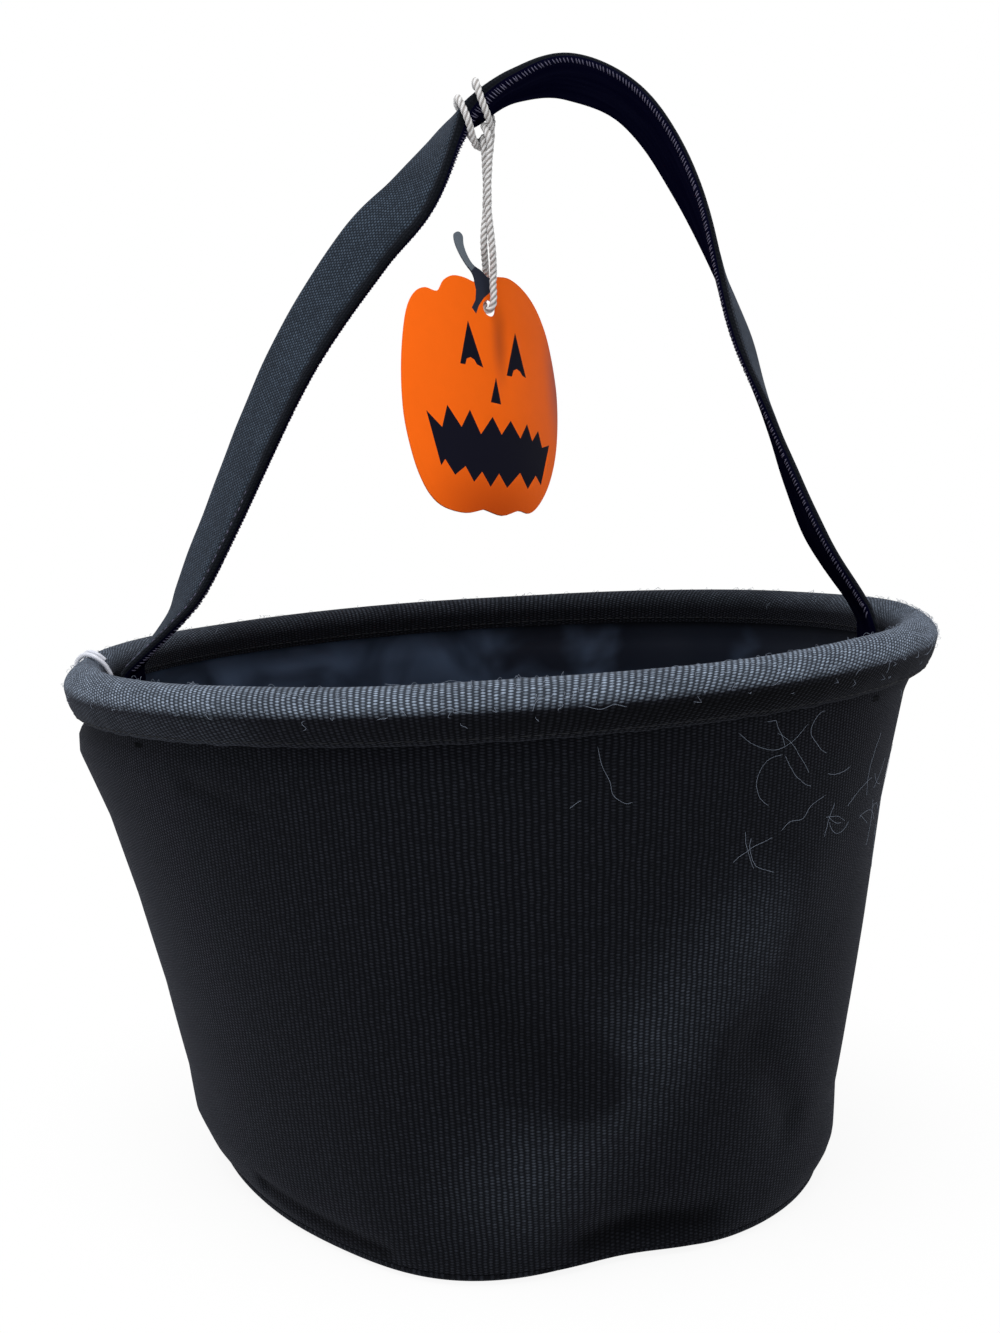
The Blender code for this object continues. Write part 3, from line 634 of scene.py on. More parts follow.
def rim_roll():
    """The roll as a closed strip of canvas, with its rubbing and painted highlight and shade per point."""
    along = distances(roll_section())
    turn = whole_turn(ROLL_COLUMNS)[:, None]
    share = (along / along[-1])[None]
    swell = roll_swell(turn, share)
    outer = roll_point(turn, along[None], swell)
    inner = roll_point(turn, along[None], swell - CANVAS)
    points = np.concatenate([outer, inner[:, ::-1]], axis=1)
    closed = np.append(turn.ravel(), np.pi)[:, None]
    round_trip = np.append(along, along[::-1])[None]
    lean = np.where(closed > 0, RIB_LEAN_RIGHT, RIB_LEAN_LEFT) * closed * np.exp(-((closed / 1.9) ** 4))
    across = closed * (RIM_X + RIM_Y) / 2 - lean * round_trip
    cloth = np.stack([across, round_trip + 0 * closed], axis=-1)
    cloth = np.append(cloth, cloth[:, :1], axis=1)
    rises, falls = np.clip((share - ROLL_RUBBED_AND_LIT[0]) / 0.07, 0, 1), np.clip((ROLL_RUBBED_AND_LIT[1] - share) / 0.14, 0, 1)
    rub_and_painted_light = rises * falls * (BACK_RUBBED_AND_LIT + (1 - BACK_RUBBED_AND_LIT) * np.clip((np.cos(turn) + 0.7) / 0.9, 0, 1))
    # Painted shade on the lower half, deepest at the right, with a little painted light at the far left.
    darker = 0.45 + 0.55 * np.clip(1.8 * np.sin(turn), -1, 1)
    rub_and_painted_light = rub_and_painted_light - ROLL_PAINTED_SHADE * np.clip((0.3 - share) / 0.05, 0, 1) * darker
    rub_and_painted_light = np.concatenate([rub_and_painted_light, rub_and_painted_light[:, ::-1]], axis=1)
    return grid_piece("rim_roll", points, cloth, canvas_look, (True, True), rub_and_painted_light=rub_and_painted_light)


rim = rim_roll()
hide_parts("rim_band")
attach(rim, "bucket")

# The seams: black lock stitches through the rim's lower edge outside and its inner edge inside, two rows
# beside the back seam, and a bar tack under the rim at each end of the strap.
STITCH_PITCH = 3.0
STITCH_LONG = 2.3
STITCH_RISES = np.array([-0.6, 0.8, 1, 0.8, -0.6])
# How far the two rows lie from the strip's edges.
OUTER_ROW = 3.1
INNER_ROW = 1.5
THREAD_R = 0.17
THREAD_BLACK = "1b1d22"
THREAD_SLATE = "12141a"
TACK_LONG = 3.6
TACK_TURN = (-53.0, 57.0)
TACK_SHARE = 0.982


def grained(name, dark, pale, grain, bump, deep, **shader_values):
    """A material of two colours that change with its grain, in bumps at most so many metres deep."""
    made, add, shader = new_material(name, **shader_values)
    share = add("TexNoise", {"Vector": add("TexCoord")["Object"], **grain})[0]
    colour = add("Mix", {0: share, 6: dark, 7: pale}, data_type="RGBA")[2]
    raised = add("Bump", {"Height": share, "Strength": bump, "Distance": deep})[0]
    feed(shader, {"Base Color": colour, "Normal": raised})
    return made


def spun_thread(name, code):
    """Spun polyester sewing thread: finer than the weave, twisted, with a slight shine."""
    dark = (*(c * 0.45 for c in linear(code)[:3]), 1.0)
    twist = {"Scale": 2500.0, "Detail": 2.0}
    return grained(name, dark, code, twist, 0.4, 0.0001, Roughness=0.7, Specular_IOR_Level=0.2)


def thread_runs(name, runs, radius, look, sides=6, tip=0.35):
    """Several short threads, each along its own line in mm, as one mesh."""
    points, faces = [], []
    around = 2 * np.pi * np.arange(sides) / sides
    around_x, around_y = np.cos(around)[None, :, None], np.sin(around)[None, :, None]
    for line in runs:
        line = np.asarray(line, float)
        first, second = side_axes(line)
        thin = np.full(len(line), radius)
        thin[[0, -1]] *= tip
        ring = around_x * first[:, None] + around_y * second[:, None]
        start = len(points)
        points += (line[:, None] + thin[:, None, None] * ring).reshape(-1, 3).tolist()
        for i in range(len(line) - 1):
            for j in range(sides):
                a, b = start + i * sides + j, start + i * sides + (j + 1) % sides
                faces.append((a, b, b + sides, a + sides))
        last = start + (len(line) - 1) * sides
        faces += [tuple(start + j for j in range(sides))[::-1], tuple(last + j for j in range(sides))]
    mesh = bpy.data.meshes.new(name)
    mesh.from_pydata((np.array(points) * MM).tolist(), [], faces)
    return finish_mesh(name, mesh, [look])


def rim_stitches(place, off):
    """A row of stitches round the roll, at a distance over it from its seam."""
    whole = distances(roll_section())[-1]
    count = round(2 * np.pi * (RIM_X + RIM_Y) / 2 / STITCH_PITCH)
    runs = []
    for turn in 2 * np.pi * np.arange(count) / count:
        step = STITCH_LONG / (RIM_X + RIM_Y) * np.array([-1, -0.6, 0, 0.6, 1])
        raised = roll_swell(turn + step, place / whole) + off * STITCH_RISES
        runs.append(roll_point(turn + step, place, raised))
    return runs


def back_stitches():
    """Two rows beside the seam at the back."""
    share = np.array([0, 0.003, 0.009, 0.015, 0.018])
    off = THREAD_R * STITCH_RISES
    starts = np.arange(0.02, 0.97, 0.024)
    turns = (np.pi - 0.02, np.pi + 0.02)
    return [wall_point(turn, start + share, -off, WALL_LOW) for turn in turns for start in starts]


def bar_tacks():
    """Dense zigzags of thread across the wall, just under the rim's seam."""
    steps = np.arange(25)
    share = TACK_SHARE + 0.0035 * (steps % 2 * 2 - 1)
    across = (steps / 24 - 0.5) * TACK_LONG / RIM_X
    return [wall_point(math.radians(middle) + across, share, -THREAD_R, WALL_LOW) for middle in TACK_TURN]


stitch_runs = rim_stitches(OUTER_ROW, THREAD_R * 0.5) + back_stitches() + bar_tacks()
seam_stitches = thread_runs("seam_stitches", stitch_runs, THREAD_R, spun_thread("black_thread", THREAD_BLACK))
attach(seam_stitches, "bucket")
inner_place = distances(roll_section())[-1] - INNER_ROW
inner_runs = rim_stitches(inner_place, THREAD_R * 0.5)
slate_thread = spun_thread("slate_thread", THREAD_SLATE)
inner_stitches = thread_runs("inner_stitches", inner_runs, THREAD_R, slate_thread)
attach(inner_stitches, "bucket")

# The yarn's fuzz: short fibres rubbed up from the rim's top, a few loose curls over it, and hairs of lint
# that cling to the front of the wall, most of them high up on its right.
FUZZ_COUNT = 760
CURL_COUNT = 12
LINT_COUNT = 26
LINT_TURNS = (34, 76)
LINT_SHARES = (0.7, 0.97)
LINT_STEP = 0.9
FIBRE_R = 0.04
FIBRE_GREY = "8f9aac"
# Hairs on the wall, as turns from the front in degrees and shares of its height.
WALL_HAIRS = [
    [(11.5, 0.977), (12, 0.943), (13, 0.913), (13.5, 0.887), (15, 0.87), (16, 0.87)],
    [(9.5, 0.883), (9, 0.88), (8, 0.87)],
    [(30, 0.973), (32.5, 0.947), (36, 0.93), (39, 0.94), (41.5, 0.967)],
    [(38.5, 0.777), (40, 0.79), (42.5, 0.79), (44, 0.81), (47, 0.823)],
]
# Hairs on the roll, as turns from the front and places round its section, both in degrees.
ROLL_HAIRS = [
    [(-8, 168), (-7, 180), (-5.5, 172), (-4.5, 180), (-3, 186)],
    [(9, 184), (11, 196), (12.5, 188), (14, 196)],
    [(-25.5, 148), (-24, 128), (-22, 154), (-20, 156)],
    [(-13.5, 94), (-12.5, 102), (-11.5, 104)],
]


def fuzz_runs():
    """Fibres that stand up from the roll and bend over again, and a few long curls among them."""
    draw = np.random.default_rng(41)
    whole = distances(roll_section())[-1]
    runs = []
    for number in range(FUZZ_COUNT + CURL_COUNT):
        curl = number >= FUZZ_COUNT
        at_right = number % 4 == 0
        turn = draw.normal(1.35, 0.3) if at_right else draw.uniform(-np.pi, np.pi)
        place = whole * draw.normal(0.47, 0.12)
        reach = draw.uniform(5.0, 9.0) if curl else draw.uniform(0.6, 3.0)
        high = draw.uniform(0.6, 1.6) if curl else draw.uniform(0.25, 1.1) * min(1.0, reach)
        way = draw.uniform(0, 2 * np.pi)
        t = np.linspace(0, 1, 13 if curl else 7)
        sway = draw.normal(0, 1.2 if curl else 0.3) * np.sin(draw.uniform(1.5, 3.0) * np.pi * t)
        places = place + reach * t * np.sin(way) + sway * np.cos(way)
        turns = turn + (reach * t * np.cos(way) - sway * np.sin(way)) / (RIM_X + RIM_Y) * 2
        off = roll_swell(turns, places / whole) + high * np.sin(np.pi * t ** draw.uniform(0.5, 1.0)) - 0.05
        runs.append(roll_point(turns, places, off))
    for hair in ROLL_HAIRS:
        turns, deep = smooth(hair, 5).T
        runs.append(over_roll(np.radians(turns), deep, 0.55))
    return runs


def lint_runs():
    """Curled hairs that lie on the wall."""
    draw = np.random.default_rng(57)
    hairs = list(WALL_HAIRS)
    for _ in range(LINT_COUNT):
        turn = draw.uniform(*LINT_TURNS)
        share = draw.uniform(*LINT_SHARES)
        heading = draw.uniform(0, 2 * np.pi)
        bend = draw.normal(0, 0.07)
        hair = []
        for _ in range(draw.integers(7, 24)):
            hair.append((turn, share))
            heading += bend + draw.normal(0, 0.1)
            turn += LINT_STEP * math.cos(heading) / DEGREE_MM
            share = min(0.985, share + LINT_STEP * math.sin(heading) / RIM_AT[2])
        hairs.append(hair)
    runs = []
    for hair in hairs:
        turns, shares = smooth(hair, 4).T
        runs.append(wall_point(np.radians(turns), shares, -0.12, WALL_LOW))
    return runs


fibre_look = spun_thread("loose_fibre", FIBRE_GREY)
yarn_fuzz = thread_runs("yarn_fuzz", fuzz_runs() + lint_runs(), FIBRE_R, fibre_look, sides=4)
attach(yarn_fuzz, "bucket")

# The interlining: soft white felt between canvas and lining, which makes the wall stand by itself.
FELT = (1.8, 3.2)
FELT_WHITE = "d9d8d2"
FELT_SHADE = "b4b2aa"
# Needled polyester felt is matt, and its fibres, a few tenths of a millimetre thick, lie every way.
NEEDLED = {"Scale": 1800.0, "Detail": 5.0, "Distortion": 1.5}

matt_felt = {"Roughness": 0.95, "Sheen_Weight": 0.2}
felt_look = grained("needled_felt", FELT_SHADE, FELT_WHITE, NEEDLED, 0.5, 0.0003, **matt_felt)
interlining = wall_tube("felt_interlining", *FELT, WALL_LOW, 30, felt_look)
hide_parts("wall_interlining")
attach(interlining, "bucket")

# The lining: smooth dark satin, cut a little larger than the bucket, so it hangs in soft upright folds
# inside the wall. Its top edge is caught in the rim's seam and its foot is sewn to a round bottom.
LINING = (3.6, 4.2)
LINING_LOW = 3.8
LINING_FLOOR = 4.4
FOLDS_IN = 1.5
FOLDS_DEEP = 1.6
LINING_COLUMNS = 420
LINING_ROWS = 50
# The satin's colour in painted shade and in painted light.
SATIN_SHADED = "0a101c"
SATIN_LIT = "3d4b61"


def polyester_satin():
    """Satin-weave polyester: smooth, with a broad soft shine and painted light and shade for its creases."""
    made, add, shader = new_material("polyester_satin", Roughness=0.5, Specular_IOR_Level=0.08)
    cloth = add("UVMap", uv_map="cloth")[0]
    # The creases' painted light and shade comes in clouds 15 to 30 mm wide, and the cloth is painted lighter
    # towards its left side.
    place = add("TexCoord")["Object"]
    clouds = add("TexNoise", {"Vector": place, "Scale": 36.0, "Detail": 2.5, "Distortion": 0.5})[0]
    side = add("SeparateXYZ", {0: place})[0]
    painted_light_left = add("MapRange", {0: side, 1: -0.1, 2: 0.05, 3: 0.16, 4: -0.13})[0]
    clouds = add("Math", {0: clouds, 1: painted_light_left}, operation="ADD")[0]
    share = add("MapRange", {0: clouds, 1: 0.37, 2: 0.78}, interpolation_type="SMOOTHSTEP")[0]
    colour = add("Mix", {0: share, 6: SATIN_SHADED, 7: SATIN_LIT}, data_type="RGBA")[2]
    threads = add("VectorMath", {0: cloth, 1: (0.9, 5.0, 1.0)}, operation="MULTIPLY")[0]
    grain = add("TexNoise", {"Vector": threads, "Scale": 1.0, "Detail": 2.0})[0]
    bump = add("Bump", {"Height": grain, "Strength": 0.25, "Distance": 0.0001})[0]
    feed(shader, {"Base Color": colour, "Normal": bump})
    return made


def bucket_lining():
    """The lining's bag: an inner face from the rim's seam to the floor's middle, and an outer face."""
    turn = whole_turn(LINING_COLUMNS)
    share = np.linspace(1, 0, LINING_ROWS)
    grid_turn, grid_share = np.meshgrid(turn, share, indexing="ij")
    out = np.stack([np.sin(grid_turn), -np.cos(grid_turn), 0 * grid_turn], axis=-1)
    folds = waves(grid_turn, grid_share, 21, 9, 34, 14) + 0.6 * waves(grid_turn, grid_share, 22, 30, 60, 8)
    fold_in = (FOLDS_IN + FOLDS_DEEP * folds).clip(0, 6) * np.sin(np.pi * grid_share) ** 0.4
    sides = []
    for inset, floor in ((LINING[1], LINING_FLOOR), (LINING[0], LINING_LOW)):
        wall = wall_point(grid_turn, grid_share, inset, floor) - fold_in[..., None] * out
        hem = rim_ring(turn, WALL_IN + inset, WALL_TOP)[:, None]
        reach = np.array([0.96, 0.8, 0.6, 0.35, 0.0])[None] * (base_reach(turn) - inset)[:, None]
        disc = out[:, :1] * reach[..., None] + np.array([0, 0, floor])
        sides.append(np.concatenate([hem, wall, disc], axis=1))
    points = np.concatenate([sides[1][:, ::-1], sides[0]], axis=1)
    across = np.append(turn, np.pi)[:, None] * BASE_R
    heights = np.append(points, points[:1], axis=0)[..., 2]
    cloth = np.stack(np.broadcast_arrays(across, heights), axis=-1)
    return grid_piece("bucket_lining", points, cloth, polyester_satin(), (True, False))


lining = bucket_lining()
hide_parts("lining_wall", "lining_base")
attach(lining, "bucket")

# The hoop, its joiner and the base board are hidden inside the cloth and keep their built shapes.
HOOP_BLACK = "1d1e20"
HOOP_SCUFF = "3a3b3e"
BOARD_BROWN = "a08a68"
BOARD_FLECK = "7c6748"
# Pressed grey-brown board is matt and fibrous, with flecks about half a millimetre across.
PRESSED = {"Scale": 900.0, "Detail": 4.0, "Roughness": 0.7}


def extruded_polyethylene():
    """Extruded polyethylene tube: waxy black, with fine lengthwise scuffs."""
    made, add, shader = new_material("extruded_polyethylene", Roughness=0.45, IOR=1.5)
    place = add("TexCoord")["Object"]
    scuffs = add("TexNoise", {"Vector": place, "Scale": 600.0, "Detail": 3.0})[0]
    colours = {0: scuffs, 6: HOOP_BLACK, 7: HOOP_SCUFF}
    rough = add("MapRange", {0: scuffs, 3: 0.35, 4: 0.6})[0]
    feed(shader, {"Base Color": add("Mix", colours, data_type="RGBA")[2], "Roughness": rough})
    return made


hoop_look = extruded_polyethylene()
board_look = grained("pressed_board", BOARD_FLECK, BOARD_BROWN, PRESSED, 0.3, 0.0002, Roughness=0.9)
for node_name, look in (("rim_hoop", hoop_look), ("hoop_joiner", hoop_look), ("base_board", board_look)):
    mesh = frame["nodes"][node_name].data
    mesh.materials.clear()
    mesh.materials.append(look)

# The strap: a band of slate canvas over a smooth navy underside, overlocked along its front edge. It rises
# from inside the rim at the left, is gathered where the string holds it, and comes down at the right.
STRAP_WIDE = 24.0
STRAP_THICK = 3.4
STRAP_RISE = 166.5
STRAP_LEAN = 18.0
GATHERED_WIDE = 18.0
GATHERED_THICK = 6.6
HINGE_X = 108.7
TAB_LOW = -6.5
STRAP_STEP = 1.5
WRINKLE = 0.09
STRAP_GROOVE_SHADE = "0d1015"
STRAP_BLACK = "12141a"
STRAP_SLATE = "404c5a"
BLACK_TO = -0.39
STRAP_RIB = 0.95
STRAP_BEAD = 1.1
UNDER_NAVY = "050518"
UNDER_PALE = "0d0e20"

hinge_at = np.array(joints["strap_swing"]["pos_m"]) / MM
hinge_across = np.array(joints["strap_swing"]["axis"])
hinge_across = hinge_across / np.linalg.norm(hinge_across)
hinge_up = np.cross(hinge_across, (0.0, 1.0, 0.0))
hinge_half = HINGE_X / hinge_across[0]
hinge_left = hinge_at - hinge_half * hinge_across
hinge_right = hinge_at + hinge_half * hinge_across


def strap_stations():
    """The strap's line from its left end to its right one: x, y, z, twist, width, thickness."""
    # Shares of the half span, of the lean and of the rise, and the twist in degrees.
    left_leg = [
        (-0.892, 0.061, 0.048, 9), (-0.842, 0.133, 0.104, 22), (-0.763, 0.256, 0.218, 29),
        (-0.569, 0.528, 0.500, 39), (-0.377, 0.717, 0.693, 46), (-0.243, 0.806, 0.791, 40),
    ]
    top = [(-0.134, 0.906, 0.896, 17), (-0.067, 0.950, 0.943, -2), (0.038, 0.989, 0.985, -10)]
    right_leg = [
        (0.188, 1.000, 1.000, -21), (0.365, 0.944, 0.944, -17), (0.512, 0.817, 0.796, -9),
        (0.642, 0.594, 0.567, 14), (0.724, 0.456, 0.418, 6), (0.852, 0.244, 0.210, -4),
        (0.968, 0.117, 0.091, -2),
    ]
    scale = np.array([HINGE_X, STRAP_LEAN, STRAP_RISE])
    flat = (STRAP_WIDE, STRAP_THICK)
    half = ((STRAP_WIDE + GATHERED_WIDE) / 2, 5.0)
    sizes = [flat] * 6 + [half, (GATHERED_WIDE, GATHERED_THICK), half] + [flat] * 7
    low = TAB_LOW * hinge_up
    stations = [
        (*(hinge_left + low), 0, *flat),
        (*(hinge_left + 0.5 * low), 0, *flat),
        (*(hinge_left - 0.8 * hinge_up), 0, *flat),
        (hinge_left[0] + 0.6, hinge_left[1], hinge_left[2] + 1.6, 0, *flat),
    ]
    legs = left_leg + top + right_leg
    stations += [(*(hinge_at + scale * s[:3]), s[3], *size) for s, size in zip(legs, sizes)]
    stations += [
        (hinge_right[0] - 0.4, hinge_right[1], hinge_right[2] + 2.0, 0, *flat),
        (*(hinge_right - 0.8 * hinge_up), 0, *flat),
        (*(hinge_right + 0.5 * low), 0, *flat),
        (*(hinge_right + low), 0, *flat),
    ]
    return stations


strap_line = spaced(smooth(strap_stations(), 12), STRAP_STEP)
strap_along = distances(strap_line[:, :3])


def strap_axes():
    """Directions across the strap's width and through its thickness at each point of its line."""
    ahead = np.gradient(strap_line[:, :3], axis=0)
    ahead /= np.linalg.norm(ahead, axis=1)[:, None]
    flat = np.array([0.0, 1.0, 0.0]) - ahead[:, 1:2] * ahead
    flat /= np.linalg.norm(flat, axis=1)[:, None]
    face = np.cross(ahead, flat)
    twist = np.radians(strap_line[:, 3:4])
    return np.cos(twist) * flat + np.sin(twist) * face, np.cos(twist) * face - np.sin(twist) * flat


strap_wide, strap_deep = strap_axes()


def strap_point(index, across, off):
    """A point on or off the strap: across from -0.5 at its front edge to 0.5, off in half thicknesses."""
    width, thick = strap_line[index, 4:5], strap_line[index, 5:6]
    at = strap_line[index, :3] + across * width * strap_wide[index]
    return at + off * thick / 2 * strap_deep[index]


def strap_section():
    """The band's outline as shares of its width and half thicknesses: padded faces, a groove beside the
    overlocked front edge and round edges. Its upper face comes first."""
    face = [(0.5, 0.0), (0.494, 0.5), (0.47, 0.84), (0.42, 0.97), (0.2, 1.0), (0.0, 1.0), (-0.2, 0.98)]
    face += [(-0.3, 0.96), (-0.35, 0.9), (-0.38, 0.78), (-0.4, 0.76), (-0.43, 0.84), (-0.475, 0.7)]
    face += [(-0.495, 0.4)]
    low = [(a, -b) for a, b in face[1:]][::-1]
    return np.array([*face, (-0.5, 0.0), *low])


def navy_twill():
    """Fine navy twill on the strap's underside: near black, matt, with faint lengthwise shading."""
    made, add, shader = new_material("navy_twill", Roughness=0.85, Specular_IOR_Level=0.0)
    cloth = add("UVMap", uv_map="cloth")[0]
    lengthwise = add("VectorMath", {0: cloth, 1: (0.35, 0.03, 1.0)}, operation="MULTIPLY")[0]
    shading = add("TexNoise", {"Vector": lengthwise, "Scale": 1.0, "Detail": 3.0})[0]
    share = add("MapRange", {0: shading, 1: 0.4, 2: 0.8})[0]
    # Twill lines are 0.5 mm apart.
    lines = add("TexWave", {"Vector": cloth, "Scale": 0.6}, bands_direction="DIAGONAL")[1]
    bump = add("Bump", {"Height": lines, "Strength": 0.3, "Distance": 0.0001})[0]
    colour = add("Mix", {0: share, 6: UNDER_NAVY, 7: UNDER_PALE}, data_type="RGBA")[2]
    feed(shader, {"Base Color": colour, "Normal": bump})
    return made


def strap_band():
    """The band swept along its line, its faces wrinkled a little across."""
    section = strap_section()
    index = np.arange(len(strap_line))
    wrinkle = 1 + WRINKLE * waves(strap_along / STRAP_WIDE, 0.5, 31, 2, 9, 8)[:, None]
    rows = np.stack([strap_point(index, a, b * wrinkle) for a, b in section], axis=1)
    size = np.array([STRAP_WIDE, STRAP_THICK / 2])
    ring = distances(np.append(section, section[:1], axis=0) * size)
    along, ring = np.meshgrid(strap_along, ring, indexing="ij")
    look = ribbed_canvas("slate_canvas", STRAP_GROOVE_SHADE, STRAP_BLACK, STRAP_SLATE, STRAP_RIB, STRAP_BEAD)
    # Along its front edge the band is dyed through; from a ragged border on it is rubbed to slate.
    ragged = np.random.default_rng(5).normal(0, 0.012, len(strap_line))[:, None]
    slate = np.clip((section[None, :, 0] - BLACK_TO + ragged) / 0.04 + 0.5, 0, 1)
    cloth = np.stack([ring, along], axis=-1)
    made = grid_piece("strap", rows, cloth, look, (False, True), cap=True, rub_and_painted_light=slate)
    made.data.materials.append(navy_twill())
    columns = len(section)
    under = np.arange(len(made.data.polygons)) % columns >= columns // 2
    under[(len(strap_line) - 1) * columns :] = False
    made.data.polygons.foreach_set("material_index", under.astype(np.int32))
    return made


strap = strap_band()
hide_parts("handle_strap", "strap_end_left", "strap_end_right")
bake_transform(strap)

# The overlock along the strap's front edge: a close row of short slanting stitches over its lower side,
# and looser ones above, near the strap's left end.
SEWN_DOWN = 9.0
TICK_PITCH = 1.0
DASH_PITCH = 2.5
DASHES_TO = 70.0
TICK_R = 0.17
THREAD_DUSK = "66647c"


def strap_spot(distance, across, off):
    """A point beside the strap at a distance along it."""
    points = strap_point(np.arange(len(strap_line)), across, off)
    return np.array([np.interp(distance, strap_along, values) for values in points.T])


def overlock_runs():
    """Slanting ticks along the edge below, and a few uneven dashes above."""
    draw = np.random.default_rng(8)
    runs = []
    tick = [(-0.494, -0.15), (-0.49, -0.5), (-0.474, -0.74), (-0.45, -0.87)]
    for start in np.arange(SEWN_DOWN, strap_along[-1] - SEWN_DOWN, TICK_PITCH):
        start = start + draw.normal(0, 0.12)
        slant = 0.3 + draw.normal(0, 0.05)
        runs.append([strap_spot(start + slant * j, a, b) for j, (a, b) in enumerate(tick)])
    for start in np.arange(SEWN_DOWN, DASHES_TO, DASH_PITCH):
        start = start + draw.normal(0, 0.4)
        across = -0.44 + draw.normal(0, 0.012)
        runs.append([strap_spot(start + s, across, 0.84) for s in (0, 0.4, 0.8, 1.2)])
    return runs


overlock = thread_runs("strap_overlock", overlock_runs(), TICK_R, spun_thread("dusk_thread", THREAD_DUSK))
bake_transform(overlock)

# The tag: thick coated card, printed and die-cut as a pumpkin with a stem. It bends a little about its
# upright middle and hangs turned to the right. The printed face has a bare mouth.
CARD_ORANGE = "f2650f"
CARD_LOW_SHADE = "b34208"
CARD_EDGE_REFLECTION = "96504a"
CARD_FOLD_SHADE = "c4500f"
# The stem's print is dark; its upper part gets a paler painted sheen.
PRINT_BLACK = "0f0f1c"
STEM_PAINTED_SHEEN = "5f6770"
STEM_DARK = "272b38"
STEM_SHEEN_ENDS = -11.0
# Painted shade on the print: low down in the middle and in its fold, and a dark painted reflection along
# its right edge.
CARD_PAINTED_SHADES = [((-2.0, 68.0), (34.0, 31.0), CARD_LOW_SHADE), ((38.5, 13.0), (15.0, 36.0), CARD_EDGE_REFLECTION)]
CARD_PAINTED_SHADES += [((4.0, 10.0), (5.0, 17.0), CARD_FOLD_SHADE)]
HOLE_R = 2.5
CARD_GRID = 2.4


def card_outline():
    """The tag's edge from the bottom up its right side, round the stem and down again; u across, v down."""
    right = [
        (-6.0, 61.5), (1.0, 62.4), (8.0, 59.9), (13.0, 59.8), (18.5, 56.0), (25.0, 48.5),
        (30.4, 39.0), (33.5, 29.2), (34.6, 19.5), (33.4, 12.0), (30.6, 4.4), (26.8, -1.4),
        (22.0, -6.2), (16.0, -9.6), (9.5, -11.3), (4.2, -10.6), (0.4, -9.4),
    ]
    stem = [
        (-2.4, -11.0), (-5.4, -12.2), (-7.4, -14.6), (-8.6, -17.6), (-8.8, -20.4), (-10.2, -21.4),
        (-11.8, -20.4), (-11.6, -17.8), (-10.2, -14.8), (-8.0, -11.8), (-5.8, -9.6), (-5.2, -7.0),
    ]
    left = [
        (-9.0, -7.6), (-13.0, -7.5), (-16.2, -5.6), (-18.6, -1.9), (-22.6, -2.4), (-26.0, -0.4),
        (-28.6, 5.0), (-30.3, 15.0), (-31.0, 25.6), (-30.7, 36.0), (-29.2, 45.0), (-27.0, 52.7),
        (-23.8, 58.8), (-19.4, 62.2), (-12.4, 63.2),
    ]
    loop = right + stem + left
    return smooth([*loop, loop[0]], 4)[:-1]


def print_outlines():
    """The black shapes of the face: two eyes, a nose and a mouth with pointed teeth."""
    left_eye = [(-8.5, 5.4), (-12.0, 19.0), (-10.2, 19.0), (-9.6, 17.2), (-8.2, 16.5)]
    left_eye += [(-6.9, 17.0), (-6.0, 18.3), (-3.6, 18.9)]
    right_eye = [(11.2, 4.9), (6.3, 19.2), (8.6, 19.0), (9.6, 16.9), (11.1, 16.1)]
    right_eye += [(12.6, 16.6), (13.5, 17.6), (15.4, 18.0)]
    nose = [(1.2, 20.9), (-1.4, 28.9), (2.8, 28.8)]
    mouth = [
        (-23.9, 34.4), (-19.1, 38.8), (-17.1, 32.0), (-12.6, 38.0), (-9.4, 32.4), (-5.8, 39.2),
        (-1.0, 33.2), (2.3, 38.0), (6.5, 33.0), (10.5, 37.6), (14.2, 32.4), (16.4, 37.2),
        (20.0, 33.2), (21.8, 38.0), (26.4, 36.2), (19.8, 50.0), (17.2, 47.6), (12.7, 52.5),
        (9.5, 48.2), (3.4, 53.8), (0.4, 50.0), (-3.2, 54.5), (-6.1, 50.4), (-9.2, 53.8),
        (-11.9, 49.5), (-15.6, 52.5), (-18.6, 48.2), (-20.0, 50.2),
    ]
    return [left_eye, right_eye, nose, mouth]


def stem_print():
    """The grey print of the stem, which runs down to a point between the pumpkin's lobes. Above them it
    passes the card's edge, so that it covers the whole stem."""
    right = [(-5.3, 2.8), (-4.1, 0.1), (-2.0, -2.7), (0.9, -5.2), (1.5, -7.6), (0.7, -9.8), (0.2, -13.0)]
    above = [(-6.0, -24.0), (-14.0, -24.0), (-14.0, -17.0)]
    return [*right, *above, (-7.2, -9.2), (-5.4, -7.0), (-4.9, -4.5), (-5.3, -1.4), (-6.8, 1.2)]


def inside(points, outline):
    """Which points lie inside a closed outline."""
    outline = np.asarray(outline, float)
    found = np.zeros(len(points), bool)
    for (a, b), (c, d) in zip(outline, np.roll(outline, -1, axis=0)):
        crosses = (b > points[:, 1]) != (d > points[:, 1])
        if b != d:
            found ^= crosses & (points[:, 0] < a + (points[:, 1] - b) * (c - a) / (d - b))
    return found


